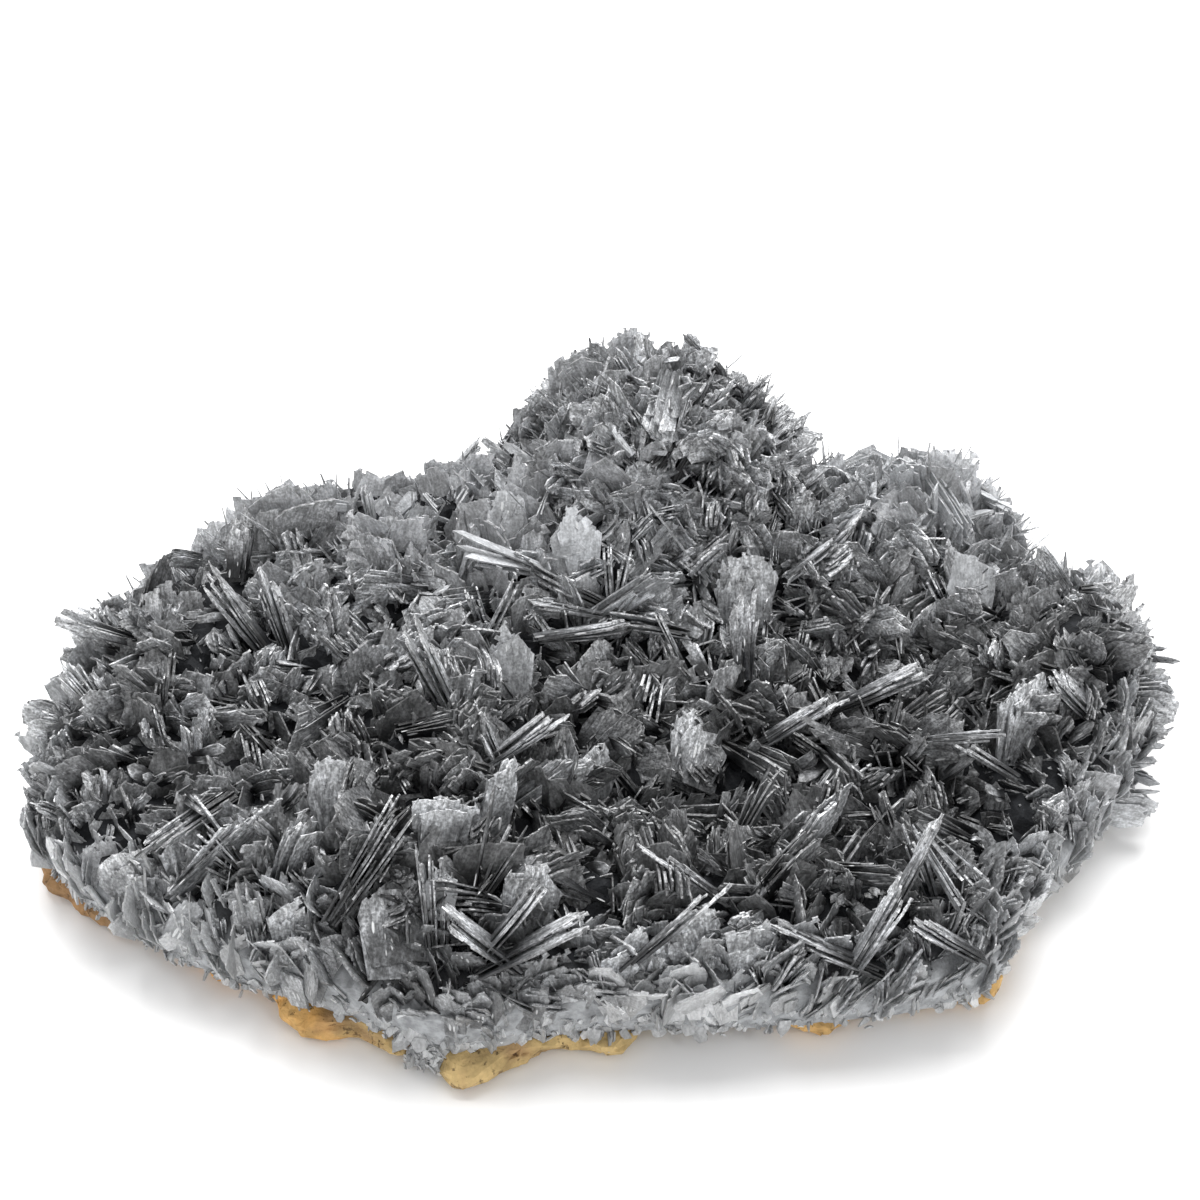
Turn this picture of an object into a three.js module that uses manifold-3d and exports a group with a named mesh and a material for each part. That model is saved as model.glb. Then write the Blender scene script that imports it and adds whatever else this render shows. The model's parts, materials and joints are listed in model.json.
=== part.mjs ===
// Barite crystal cluster: a broken plate of bladed barite on a thin slab of ochre limonite.
// Millimetres, +Z up, origin under the middle of the plate, on the surface it rests on.
// X runs along the plate's length, and +Y points to its thick, humped side.
import * as THREE from "three";
import { mergeVertices } from "three/addons/utils/BufferGeometryUtils.js";
import Module from "manifold-3d";

// Shift that brings the middle of the finished box over the origin.
const CENTRE_SHIFT = new THREE.Vector2(0.54, 6.94);
// Point that every ring is drawn round.
const HEART = new THREE.Vector2(0, -12);

// Break line of the barite crust, anticlockwise from the right-hand end.
// In front it is broken off flush, and elsewhere the crystals grew freely past it.
const CRUST_EDGE = [
  [106, -19], [105, -3], [99, 10], [90, 24], [78, 35], [62, 42], [48, 50],
  [37, 59], [20, 66], [2, 66], [-12, 61], [-24, 54], [-38, 48], [-52, 40],
  [-68, 33], [-83, 22], [-95, 8], [-103, -7], [-106, -24], [-103, -42],
  [-89, -56], [-67, -68], [-44, -76], [-25, -83], [-7, -80], [18, -79],
  [44, -77], [67, -72], [74, -60], [87, -46], [98, -34],
];
// Broken side of the crust from its foot up: height and how far inside the break line.
const CRUST_SIDE = [[2.5, 2.4], [5.5, 0.4], [8.5, 0]];
const RIM_TOP = 11; // top of the broken side
const EDGE_RUN = 20; // how far in the shoulder takes to reach full height
const BED = 24; // height of the crust away from its swells

// Swells and hollows of the crust: middle x, y, height, half width, half depth, turn in degrees.
const SWELLS = [
  { at: [14, 35], rise: 37, wide: 25, deep: 17, turn: -10 },
  { at: [-46, 17], rise: 17, wide: 18, deep: 14, turn: 10 },
  { at: [-80, -2], rise: 12, wide: 17, deep: 20, turn: 20 },
  { at: [-4, 2], rise: 8, wide: 15, deep: 12, turn: 0 },
  { at: [-30, -40], rise: 9, wide: 13, deep: 22, turn: -18 },
  { at: [70, 22], rise: 20, wide: 20, deep: 14, turn: 15 },
  { at: [96, -4], rise: 15, wide: 14, deep: 17, turn: 0 },
  { at: [18, -42], rise: -9, wide: 17, deep: 9, turn: 8 },
  { at: [55, -12], rise: -10, wide: 17, deep: 8, turn: -24 },
  { at: [58, -46], rise: -6, wide: 15, deep: 9, turn: 0 },
  { at: [-62, -36], rise: -4, wide: 12, deep: 10, turn: -20 },
];

// Edge of the rock slab. It shows in front as lumps past the barite, and lies under it elsewhere.
const ROCK_EDGE = [
  [98, -20], [95, -4], [84, 14], [66, 30], [44, 40], [22, 51], [0, 52], [-20, 41],
  [-48, 28], [-76, 12], [-94, -10], [-99, -28], [-103, -42], [-97, -50], [-88, -56.5],
  [-80, -58], [-72, -61.5], [-65, -68], [-58, -70], [-54, -75], [-48, -78.5], [-42, -78],
  [-39, -77], [-31, -82.5], [-24, -87], [-14, -84.5], [-6, -81.5], [0, -80.5], [4, -81.5],
  [8, -78], [14, -74], [30, -74], [36, -78], [42, -74], [60, -70.5], [67, -72.5],
  [71, -62], [82, -43], [92, -33],
];
// Side of the rock slab from its foot up: height and how far inside the edge.
const ROCK_SIDE = [[0, 3.2], [1.6, 0.7], [4.4, 0], [7.4, 0.9], [9.2, 3.4]];
const ROCK_CROWN = 10.2; // height of the slab's middle
const ROCK_CROWN_SHARE = 0.6; // how much of the way to the edge the middle reaches
const ROCK_WAVE = 0.3; // unevenness of the slab's top
const ROCK_GRAIN = 0.6; // how far the side wanders in and out
const CLEARANCE = 0.45; // between rock and barite, which touch in nature

const RING_POINTS = 56;
const CRUST_RINGS = [0.985, 0.93, 0.84, 0.72, 0.58, 0.42, 0.22];
const ROCK_POINTS = 92;
const CRUST_WAVE = 1.6; // knobbly unevenness of the crust

// Books of parallel blades, spread over the crust in a sunflower spiral.
const BOOKS = 86;
const GOLDEN_TURN = Math.PI * (3 - Math.sqrt(5));
const FLANK_BOOKS = 24;
const FLANK_SWEEP = [-0.2, 3.5]; // stretch of the edge that isn't broken off flush, in radians
const FLANK_INSIDE = 1.5; // how far in from the break line its books are rooted
const BOOK_WIDTH = [13, 20];
const BOOK_REACH = [6.5, 10]; // how far a book stands above the crust
const BOOK_ROOT = 5; // how deep it is rooted
const BOOK_THICKNESS = [2.4, 4.2];
const BOOK_LEAN = 0.62; // most a book leans from upright, in radians
const BOOK_SKEW = 0.15; // most its tip lies off the middle, as a share of its width
const BOOK_UPRIGHT = 1.15; // how strongly books stand up rather than square to a slope
// The two halves of a book's outline from tip to root: share of its width, share of its reach or root.
const BOOK_RIGHT = [[0.22, 1], [0.5, 0.45], [0.3, -1]];
const BOOK_LEFT = [[-0.3, -1], [-0.5, 0.4], [-0.22, 0.96]];

const wasm = await Module();
wasm.setup();

// A repeatable number from 0 to 1 for item i and use k.
function chance(i, k) {
  const s = Math.sin(i * 12.9898 + k * 78.233) * 43758.5453;
  return s - Math.floor(s);
}

function between([low, high], share) {
  return low + (high - low) * share;
}

// A smooth bump pattern over the plane, from -1 to 1.
function ripple(x, y) {
  return (
    (Math.sin(x * 0.31 + 1.7 * Math.sin(y * 0.17)) + Math.sin(y * 0.37 + 1.3 * Math.sin(x * 0.23))) / 2
  );
}

function swellAt(x, y) {
  let height = 0;
  for (const { at, rise, wide, deep, turn } of SWELLS) {
    const a = THREE.MathUtils.degToRad(turn);
    const dx = x - at[0];
    const dy = y - at[1];
    const u = (dx * Math.cos(a) + dy * Math.sin(a)) / wide;
    const v = (dy * Math.cos(a) - dx * Math.sin(a)) / deep;
    height += rise * Math.exp(-(u * u + v * v) / 2);
  }
  return height;
}

// Height of the crust at a point that lies `inside` mm in from the break line.
function crustHeight(x, y, inside) {
  const run = Math.min(1, Math.max(0, inside / EDGE_RUN));
  const shoulder = Math.sqrt(1 - (1 - run) ** 2);
  const full = BED + swellAt(x, y);
  return RIM_TOP + (full - RIM_TOP) * shoulder + CRUST_WAVE * ripple(x, y) * run;
}

// Points of a closed, smoothly rounded outline.
function outline(corners, count) {
  const curve = new THREE.CatmullRomCurve3(
    corners.map(([x, y]) => new THREE.Vector3(x, y, 0)),
    true,
    "centripetal",
  );
  return Array.from({ length: count }, (_, i) => curve.getPointAt(i / count));
}

// One ring of an outline, drawn in towards the heart by `inset` mm, at the height that `level` gives.
function ringOf(edge, inset, level) {
  return edge.map((p, i) => {
    const radial = new THREE.Vector2(p.x, p.y).sub(HEART);
    const length = radial.length();
    const depth = typeof inset === "function" ? inset(length, i) : inset;
    radial.setLength(length - depth).add(HEART);
    return new THREE.Vector3(radial.x, radial.y, level(radial.x, radial.y, depth));
  });
}

// A closed surface through rings listed from the foot up, with a point closing each end.
function loft(rings, foot, crown) {
  const count = rings[0].length;
  const positions = [foot, ...rings.flat(), crown].flatMap((p) => [p.x, p.y, p.z]);
  const index = [];
  const last = 1 + rings.length * count;
  const at = (ring, i) => 1 + ring * count + (i % count);
  for (let i = 0; i < count; i++) {
    index.push(0, at(0, i + 1), at(0, i));
    index.push(last, at(rings.length - 1, i), at(rings.length - 1, i + 1));
    for (let ring = 0; ring + 1 < rings.length; ring++) {
      index.push(at(ring, i), at(ring, i + 1), at(ring + 1, i));
      index.push(at(ring, i + 1), at(ring + 1, i + 1), at(ring + 1, i));
    }
  }
  const geometry = new THREE.BufferGeometry();
  geometry.setAttribute("position", new THREE.Float32BufferAttribute(positions, 3));
  geometry.setIndex(index);
  return geometry;
}

// A ring moved outwards by `by` mm, square to its own line.
function grown(ring, by) {
  return ring.map((p, i) => {
    const along = ring[(i + 1) % ring.length].clone().sub(ring.at(i - 1));
    const outwards = new THREE.Vector3(along.y, -along.x, 0).setLength(by);
    return p.clone().add(outwards);
  });
}

// The rock slab, or the same slab grown by `grow` mm on every side to cut its bed in the barite.
function rockGeometry(grow) {
  const edge = outline(ROCK_EDGE, ROCK_POINTS);
  const rings = ROCK_SIDE.map(([height, inset], k) => {
    const grain = (length, i) => inset + ROCK_GRAIN * (k ? chance(i, k) - 0.5 : 0);
    const level = k === 0 ? height - grow : height + (k > 2 ? grow : 0);
    return grown(ringOf(edge, grain, () => level), grow);
  });
  const crownLevel = (x, y) => ROCK_CROWN + grow + ROCK_WAVE * ripple(x, y);
  rings.push(ringOf(edge, (length) => length * (1 - ROCK_CROWN_SHARE), crownLevel));
  const foot = new THREE.Vector3(HEART.x, HEART.y, -grow);
  const crown = new THREE.Vector3(HEART.x, HEART.y, crownLevel(HEART.x, HEART.y));
  return loft(rings, foot, crown);
}

// The massive crust that the blades are rooted in.
function crustGeometry(edge) {
  const rings = CRUST_SIDE.map(([height, inset]) => ringOf(edge, inset, () => height));
  for (const share of CRUST_RINGS) {
    rings.push(ringOf(edge, (length) => length * (1 - share), crustHeight));
  }
  const foot = new THREE.Vector3(HEART.x, HEART.y, CRUST_SIDE[0][0]);
  const crown = new THREE.Vector3(HEART.x, HEART.y, crustHeight(HEART.x, HEART.y, EDGE_RUN));
  return loft(rings, foot, crown);
}

// Direction that crystals grow in at a point: out of the crust's surface.
function growthAt(x, y, insideAt) {
  const step = 2;
  const height = (dx, dy) => crustHeight(x + dx, y + dy, insideAt(x + dx, y + dy));
  const slopeX = (height(step, 0) - height(-step, 0)) / (2 * step);
  const slopeY = (height(0, step) - height(0, -step)) / (2 * step);
  return new THREE.Vector3(-slopeX, -slopeY, BOOK_UPRIGHT).normalize();
}

// One book of blades as a six-sided tabular plate, rooted at its local origin and standing along +Y.
function bookGeometry(i) {
  const width = between(BOOK_WIDTH, chance(i, 1));
  const reach = between(BOOK_REACH, chance(i, 2));
  const thick = between(BOOK_THICKNESS, chance(i, 3));
  const skew = (chance(i, 4) - 0.5) * 2 * BOOK_SKEW;
  const corners = [...BOOK_LEFT, ...BOOK_RIGHT].map(([across, up]) => {
    const shift = up > 0.5 ? skew : 0;
    return new THREE.Vector2((across + shift) * width, up < 0 ? up * BOOK_ROOT : up * reach);
  });
  const shape = new THREE.Shape(corners);
  const plate = new THREE.ExtrudeGeometry(shape, { depth: thick, bevelEnabled: false });
  return plate.translate(0, 0, -thick / 2);
}

// Where book i is rooted: first the sunflower spiral, then the row along the flank.
function bookRoot(i, edge) {
  const flank = i - BOOKS;
  const sweep = (flank + chance(i, 7) * 0.5) / FLANK_BOOKS;
  const turn = flank < 0 ? i * GOLDEN_TURN : between(FLANK_SWEEP, sweep);
  const reach = edgeDistance(edge, turn);
  const length = flank < 0 ? reach * Math.sqrt((i + 0.5) / BOOKS) * 0.96 : reach - FLANK_INSIDE;
  return new THREE.Vector2(Math.cos(turn), Math.sin(turn)).multiplyScalar(length).add(HEART);
}

// Where book i stands, with its blades' width, growth and thickness as the axes.
function bookMatrix(i, edge, insideAt) {
  const { x, y } = bookRoot(i, edge);
  const growth = growthAt(x, y, insideAt);
  const facing = chance(i, 5) * Math.PI * 2;
  const lean = (chance(i, 6) - 0.5) * 2 * BOOK_LEAN;
  const normal = new THREE.Vector3(Math.cos(facing), Math.sin(facing), 0);
  normal.addScaledVector(growth, -normal.dot(growth)).normalize();
  growth.applyAxisAngle(new THREE.Vector3().crossVectors(normal, growth), lean);
  normal.addScaledVector(growth, -normal.dot(growth)).normalize();
  const across = new THREE.Vector3().crossVectors(growth, normal);
  const z = crustHeight(x, y, insideAt(x, y));
  return new THREE.Matrix4().makeBasis(across, growth, normal).setPosition(x, y, z);
}

// Distance from the heart to the outline in direction `turn`.
function edgeDistance(edge, turn) {
  const ray = new THREE.Vector2(Math.cos(turn), Math.sin(turn));
  for (let i = 0; i < edge.length; i++) {
    const a = new THREE.Vector2(edge[i].x, edge[i].y).sub(HEART);
    const next = edge[(i + 1) % edge.length];
    const b = new THREE.Vector2(next.x, next.y).sub(HEART);
    if (a.cross(ray) < 0 || ray.cross(b) < 0) continue;
    const side = b.clone().sub(a);
    return a.cross(side) / ray.cross(side);
  }
  throw new Error("the outline doesn't go round the heart");
}

// A closed geometry as a manifold-3d solid.
function solidOf(geometry) {
  const bare = new THREE.BufferGeometry();
  bare.setAttribute("position", geometry.getAttribute("position"));
  if (geometry.index) bare.setIndex(geometry.index);
  const merged = mergeVertices(bare, 1e-4);
  return new wasm.Manifold(
    new wasm.Mesh({
      numProp: 3,
      vertProperties: merged.getAttribute("position").array,
      triVerts: new Uint32Array(merged.index.array),
    }),
  );
}

function geometryOf(solid) {
  const { vertProperties, triVerts } = solid.getMesh();
  const geometry = new THREE.BufferGeometry();
  geometry.setAttribute("position", new THREE.BufferAttribute(vertProperties, 3));
  geometry.setIndex(new THREE.BufferAttribute(triVerts, 1));
  geometry.computeVertexNormals();
  return geometry;
}

// Crust and books grown together, with the rock's bed cut out underneath.
function bariteGeometry() {
  const edge = outline(CRUST_EDGE, RING_POINTS);
  const insideAt = (x, y) => {
    const radial = new THREE.Vector2(x, y).sub(HEART);
    return edgeDistance(edge, radial.angle()) - radial.length();
  };
  let cluster = solidOf(crustGeometry(edge));
  for (let i = 0; i < BOOKS + FLANK_BOOKS; i++) {
    const book = bookGeometry(i).applyMatrix4(bookMatrix(i, edge, insideAt));
    cluster = cluster.add(solidOf(book));
  }
  return geometryOf(cluster.subtract(solidOf(rockGeometry(CLEARANCE))));
}

function rock() {
  const material = new THREE.MeshStandardMaterial({ color: 0xb08a55, roughness: 0.9, metalness: 0 });
  const mesh = new THREE.Mesh(rockGeometry(0), material);
  mesh.name = "ochre_rock";
  return mesh;
}

function barite() {
  const material = new THREE.MeshStandardMaterial({ color: 0x7b7d82, roughness: 0.35, metalness: 0 });
  const mesh = new THREE.Mesh(bariteGeometry(), material);
  mesh.name = "barite_cluster";
  return mesh;
}

const specimen = new THREE.Group();
specimen.add(rock(), barite());
specimen.position.set(CENTRE_SHIFT.x, CENTRE_SHIFT.y, 0);

export default specimen;
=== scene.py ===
"""Barite crystal cluster: books of thin grey blades on a low crust, over a slab of ochre rock.

Plan coordinates are millimetres from the crust's own heart line, as the part's source has them.
They become metres in the row frame when a mesh is made.
"""
import json
import logging
import math
from dataclasses import dataclass, field, replace
from enum import Enum

import bpy
import numpy as np
from bpy.types import Collection, Material, Mesh, Node, NodeSocket, NodeTree, Object
from mathutils import Euler, Matrix, Vector, noise
from numpy.random import Generator

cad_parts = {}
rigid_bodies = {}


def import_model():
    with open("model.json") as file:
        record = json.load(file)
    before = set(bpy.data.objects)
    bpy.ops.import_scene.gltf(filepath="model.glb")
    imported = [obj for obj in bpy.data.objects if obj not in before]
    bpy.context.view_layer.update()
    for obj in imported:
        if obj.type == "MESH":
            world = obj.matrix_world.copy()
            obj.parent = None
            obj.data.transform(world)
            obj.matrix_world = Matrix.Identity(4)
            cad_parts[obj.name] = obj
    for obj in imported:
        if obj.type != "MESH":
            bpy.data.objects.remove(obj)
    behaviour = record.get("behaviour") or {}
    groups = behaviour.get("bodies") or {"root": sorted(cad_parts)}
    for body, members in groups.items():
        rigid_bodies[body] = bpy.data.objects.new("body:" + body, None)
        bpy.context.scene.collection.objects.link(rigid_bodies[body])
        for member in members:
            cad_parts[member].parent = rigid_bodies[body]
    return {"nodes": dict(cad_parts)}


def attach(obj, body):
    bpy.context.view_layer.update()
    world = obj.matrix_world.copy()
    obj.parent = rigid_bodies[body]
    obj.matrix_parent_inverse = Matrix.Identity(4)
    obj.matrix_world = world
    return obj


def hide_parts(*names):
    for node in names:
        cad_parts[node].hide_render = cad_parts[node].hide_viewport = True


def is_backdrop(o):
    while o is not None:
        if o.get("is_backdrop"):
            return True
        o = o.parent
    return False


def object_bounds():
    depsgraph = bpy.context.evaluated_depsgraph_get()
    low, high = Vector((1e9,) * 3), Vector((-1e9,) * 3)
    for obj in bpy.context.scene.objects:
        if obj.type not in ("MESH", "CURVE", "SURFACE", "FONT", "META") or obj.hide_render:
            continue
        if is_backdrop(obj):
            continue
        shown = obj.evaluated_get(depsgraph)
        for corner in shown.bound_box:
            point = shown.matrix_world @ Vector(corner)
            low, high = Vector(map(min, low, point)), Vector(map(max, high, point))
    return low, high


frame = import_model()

Pair = tuple[float, float]
MM = 0.001
PLAN_SHIFT = (0.54, 6.94, 0)  # from plan coordinates to the row frame, in mm
TURNS = np.linspace(-math.pi, math.pi, 1441)  # directions that the break line's reach is sampled in
BLADES_MOST = 4096  # more blades than any book has
log = logging.getLogger("barite")


def to_frame(places: np.ndarray) -> np.ndarray:
    """Places in metres in the row frame, from mm in plan coordinates."""
    return (places + PLAN_SHIFT) * MM


def to_plan(places: np.ndarray) -> np.ndarray:
    """Places in mm in plan coordinates, from metres in the row frame."""
    return places / MM - PLAN_SHIFT


def unit(rows: np.ndarray) -> np.ndarray:
    """Vectors, one row each, at length 1."""
    return rows / np.linalg.norm(rows, axis=1)[:, None]


def slanting(turn: np.ndarray, out: object, up: object) -> np.ndarray:
    """Directions, one row each, that go out towards turn and up, by so much of each."""
    return unit(np.stack(np.broadcast_arrays(np.cos(turn) * out, np.sin(turn) * out, up), 1))


# ------------ shape of the crust


@dataclass(frozen=True)
class Swell:
    """One rounded rise or hollow of the crust: middle, height, half width, half depth, turn in degrees."""

    at: Pair
    rise: float
    wide: float
    deep: float
    turn: float = 0.0

    def lift(self, x: np.ndarray, y: np.ndarray) -> np.ndarray:
        """Height that this swell adds at plan points.

        Args:
            x: Where they lie along X.
            y: Where they lie along Y.

        Returns:
            The heights, in mm.
        """
        a = math.radians(self.turn)
        dx, dy = x - self.at[0], y - self.at[1]
        u = (dx * math.cos(a) + dy * math.sin(a)) / self.wide
        v = (dy * math.cos(a) - dx * math.sin(a)) / self.deep
        return self.rise * np.exp(-(u * u + v * v) / 2)


@dataclass(frozen=True)
class Crust:
    """The low, knobbly crust that every blade is rooted in. Sizes in mm, in plan coordinates."""

    heart: Pair = (0.0, -12.0)
    side: tuple[Pair, ...] = ((2.5, 2.4), (5.5, 0.4), (8.5, 0.0))
    rim_top: float = 11.0
    edge_run: float = 20.0
    bed: float = 24.0
    wave: float = 1.6
    curve_steps: int = 24  # points of the break line from one corner to the next
    break_line: tuple[Pair, ...] = (
        (106, -19), (105, -3), (99, 10), (90, 24), (78, 35), (62, 42), (48, 50),
        (37, 59), (20, 66), (2, 66), (-12, 61), (-24, 54), (-38, 48), (-52, 40),
        (-68, 33), (-83, 22), (-95, 8), (-103, -7), (-106, -24), (-103, -42),
        (-89, -56), (-67, -68), (-44, -76), (-25, -83), (-7, -80), (18, -79),
        (44, -77), (66, -71), (73, -60), (86, -46), (97, -34),
    )
    swells: tuple[Swell, ...] = (
        Swell((14, 35), 37, 25, 17, -10), Swell((-46, 17), 17, 18, 14, 10),
        Swell((-80, -2), 12, 17, 20, 20), Swell((-80, 2), -4, 6, 8), Swell((-4, 2), 8, 15, 12),
        Swell((-30, -40), 9, 13, 22, -18), Swell((70, 22), 15.5, 20, 14, 15),
        Swell((97, -5), 16.5, 14, 17), Swell((46, 36), -4, 7, 11), Swell((86, 1), -6, 7, 8),
        Swell((87, 15), -5, 7, 8), Swell((18, -42), -9, 17, 9, 8), Swell((55, -12), -10, 17, 8, -24),
        Swell((58, -46), -6, 15, 9), Swell((-62, -36), -4, 12, 10, -20),
    )
    reach_table: np.ndarray = field(init=False, repr=False, compare=False, default=None)

    def __post_init__(self) -> None:
        """Samples how far the break line lies from the heart in each direction."""
        loop = closed_curve(np.array(self.break_line, float), self.curve_steps) - np.array(self.heart)
        angle = np.arctan2(loop[:, 1], loop[:, 0])
        order = np.argsort(angle)
        reach = np.interp(TURNS, angle[order], np.hypot(*loop.T)[order], period=2 * math.pi)
        object.__setattr__(self, "reach_table", reach)

    def reach(self, turn: np.ndarray) -> np.ndarray:
        """Distance from the heart to the break line in direction turn, in radians."""
        wrapped = (np.asarray(turn) + math.pi) % (2 * math.pi) - math.pi
        return np.interp(wrapped, TURNS, self.reach_table)

    def inside(self, x: np.ndarray, y: np.ndarray) -> np.ndarray:
        """How far in from the break line plan points lie, towards the heart."""
        dx, dy = np.asarray(x) - self.heart[0], np.asarray(y) - self.heart[1]
        return self.reach(np.arctan2(dy, dx)) - np.hypot(dx, dy)

    def height(self, x: np.ndarray, y: np.ndarray) -> np.ndarray:
        """Height of the crust at plan points.

        Args:
            x: Where they lie along X.
            y: Where they lie along Y.

        Returns:
            The heights, in mm.
        """
        x, y = np.asarray(x, float), np.asarray(y, float)
        run = np.clip(self.inside(x, y) / self.edge_run, 0, 1)
        full = self.bed + sum(s.lift(x, y) for s in self.swells)
        ripple = (
            np.sin(x * 0.31 + 1.7 * np.sin(y * 0.17)) + np.sin(y * 0.37 + 1.3 * np.sin(x * 0.23))
        ) / 2
        shoulder = np.sqrt(1 - (1 - run) ** 2)
        return self.rim_top + (full - self.rim_top) * shoulder + self.wave * ripple * run

    def slope(self, x: np.ndarray, y: np.ndarray, step: float = 2.0) -> tuple[np.ndarray, np.ndarray]:
        """Rise of the crust per mm along X and along Y at plan points."""
        along_x = (self.height(x + step, y) - self.height(x - step, y)) / (2 * step)
        along_y = (self.height(x, y + step) - self.height(x, y - step)) / (2 * step)
        return along_x, along_y

    def front(self, x: np.ndarray, y: np.ndarray) -> np.ndarray:
        """1 where plan points lie towards the broken front of the crust, 0 towards its free flank."""
        turn = np.arctan2(y - self.heart[1], x - self.heart[0])
        return np.clip(-np.sin(turn) * 5 + 0.7, 0, 1)

    def at_turn(self, turn: np.ndarray, inside: np.ndarray) -> tuple[np.ndarray, np.ndarray]:
        """Plan points that lie inside mm in from the break line in direction turn."""
        length = self.reach(turn) - inside
        return self.heart[0] + np.cos(turn) * length, self.heart[1] + np.sin(turn) * length


def between(t: float, low: float, high: float, start: np.ndarray, end: np.ndarray) -> np.ndarray:
    """The point at t on the way from start, at low, to end, at high."""
    return ((high - t) * start + (t - low) * end) / (high - low)


def closed_curve(corners: np.ndarray, steps: int) -> np.ndarray:
    """A smooth closed line through corners.

    Args:
        corners: The points it passes through, one row each.
        steps: How many points it has for each corner.

    Returns:
        Its points, one row each, by centripetal Catmull-Rom interpolation.
    """
    count = len(corners)
    line = []
    for i in range(count):
        p = [corners[(i + k) % count] for k in (-1, 0, 1, 2)]
        knot = [0.0]
        for a, b in zip(p, p[1:]):
            knot.append(knot[-1] + math.sqrt(np.linalg.norm(b - a)))
        for t in np.linspace(knot[1], knot[2], steps, endpoint=False):
            a = [between(t, knot[k], knot[k + 1], p[k], p[k + 1]) for k in range(3)]
            b = [between(t, knot[k], knot[k + 2], a[k], a[k + 1]) for k in range(2)]
            line.append(between(t, knot[1], knot[2], b[0], b[1]))
    return np.array(line)


CRUST = Crust()
BROKEN_FRONT = (-3.25, 0.2)  # the broken stretch of the break line, as directions from the crust's heart


# ------------ meshes


@dataclass
class Leafwork:
    """Vertices, faces and attributes of a mesh of many thin leaves, gathered before it is made. In mm."""

    points: list = field(default_factory=list)
    faces: list = field(default_factory=list)
    tone: list = field(default_factory=list)
    tip: list = field(default_factory=list)
    grain: list = field(default_factory=list)
    rim: list = field(default_factory=list)
    blade: list = field(default_factory=list)
    uv: list = field(default_factory=list)
    leaves: int = 0
    count: int = 0
    edge_strip: Pair = (0.84, 0.96)  # where a leaf's edges lie in its UV cell, above its faces

    def add_plate(
        self, outline: np.ndarray, thick: float, taper: float, bend: float, place: Matrix, tone: float
    ) -> None:
        """Adds one closed plate.

        Args:
            outline: Its outline in its own plane, anticlockwise: X across, Y along its growth.
            thick: Its thickness at the root.
            taper: How much of that it loses by the tip.
            bend: How far its tip is bent out of its plane.
            place: Where it stands.
            tone: How light or dark it is, from -1 to 1.
        """
        count, start = len(outline), self.count
        low, high = outline[:, 1].min(), outline[:, 1].max()
        along = (outline[:, 1] - low) / max(high - low, 1e-6)
        half = thick / 2 * (1 - taper * along)
        depth = np.concatenate([-half, half]) + np.tile(bend * along * along, 2)
        flat = np.column_stack([np.tile(outline, (2, 1)), depth])
        turn = np.array(place)
        self.points.append(flat @ turn[:3, :3].T + turn[:3, 3])
        shift = (37.0 * self.leaves % 91, 17.0 * self.leaves % 83, 53.0 * self.leaves % 97)
        self.grain.append(flat + shift)
        self.tone.append(np.full(2 * count, tone))
        self.tip.append(np.tile(along, 2))
        back, front = np.arange(start, start + count), np.arange(start + count, start + 2 * count)
        wide = max(np.abs(outline[:, 0]).max(), 1e-6)
        cell = np.column_stack([0.5 + 0.45 * outline[:, 0] / wide, 0.04 + 0.72 * along])
        self.faces += [front.tolist(), back[::-1].tolist()]
        sides = np.column_stack([back, np.roll(back, -1), np.roll(front, -1), front])
        self.faces += sides.tolist()
        steps = 0.04 + 0.92 * np.arange(count + 1) / count
        left, right = steps[:-1], steps[1:]
        foot, head = (np.full(count, edge) for edge in self.edge_strip)
        border = np.stack([left, foot, right, foot, right, head, left, head], 1)
        self.uv += [cell, cell[::-1], border.reshape(-1, 2)]
        self.rim += [0.0, 0.0] + [1.0] * count
        self.blade += [self.leaves] * (count + 2)
        self.leaves += 1
        self.count += 2 * count

    def mesh(self, name: str) -> Mesh:
        """Makes one mesh of the gathered leaves.

        Args:
            name: Its name.

        Returns:
            The mesh, in metres, with its attributes.
        """
        mesh = bpy.data.meshes.new(name)
        mesh.from_pydata((np.concatenate(self.points) * MM).tolist(), [], self.faces)
        store(mesh, "tone", "FLOAT", "POINT", np.concatenate(self.tone))
        store(mesh, "tip", "FLOAT", "POINT", np.concatenate(self.tip))
        store(mesh, "rim", "FLOAT", "FACE", self.rim)
        store(mesh, "blade", "INT", "FACE", self.blade)
        store(mesh, "grain", "FLOAT_VECTOR", "POINT", np.concatenate(self.grain))
        store(mesh, "leaf_uv", "FLOAT2", "CORNER", np.concatenate(self.uv))
        return mesh


def store(mesh: Mesh, name: str, kind: str, domain: str, values: object) -> None:
    """Stores a number or a vector for each point, face or corner, as a named attribute of a mesh."""
    values = np.asarray(values, np.int32 if kind == "INT" else np.float32)
    attribute = mesh.attributes.new(name, kind, domain)
    attribute.data.foreach_set("value" if values.ndim == 1 else "vector", values.ravel())


def read(rows: object, name: str, count: int, kind: type = np.int32) -> np.ndarray:
    """Reads count numbers that each row of a mesh's data holds under this name.

    Args:
        rows: The vertices, corners, faces or attribute values.
        name: What to read from each.
        count: How many numbers there are in all.
        kind: Their type.

    Returns:
        The numbers, in one flat row.
    """
    values = np.zeros(count, kind)
    rows.foreach_get(name, values)
    return values


def places_of(mesh: Mesh) -> np.ndarray:
    """The places of a mesh's vertices, one row each."""
    return read(mesh.vertices, "co", len(mesh.vertices) * 3, np.float32).reshape(-1, 3)


def move_to(mesh: Mesh, places: np.ndarray) -> None:
    """Moves a mesh's vertices to these places."""
    mesh.vertices.foreach_set("co", places.astype(np.float32).ravel())
    mesh.update()


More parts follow.
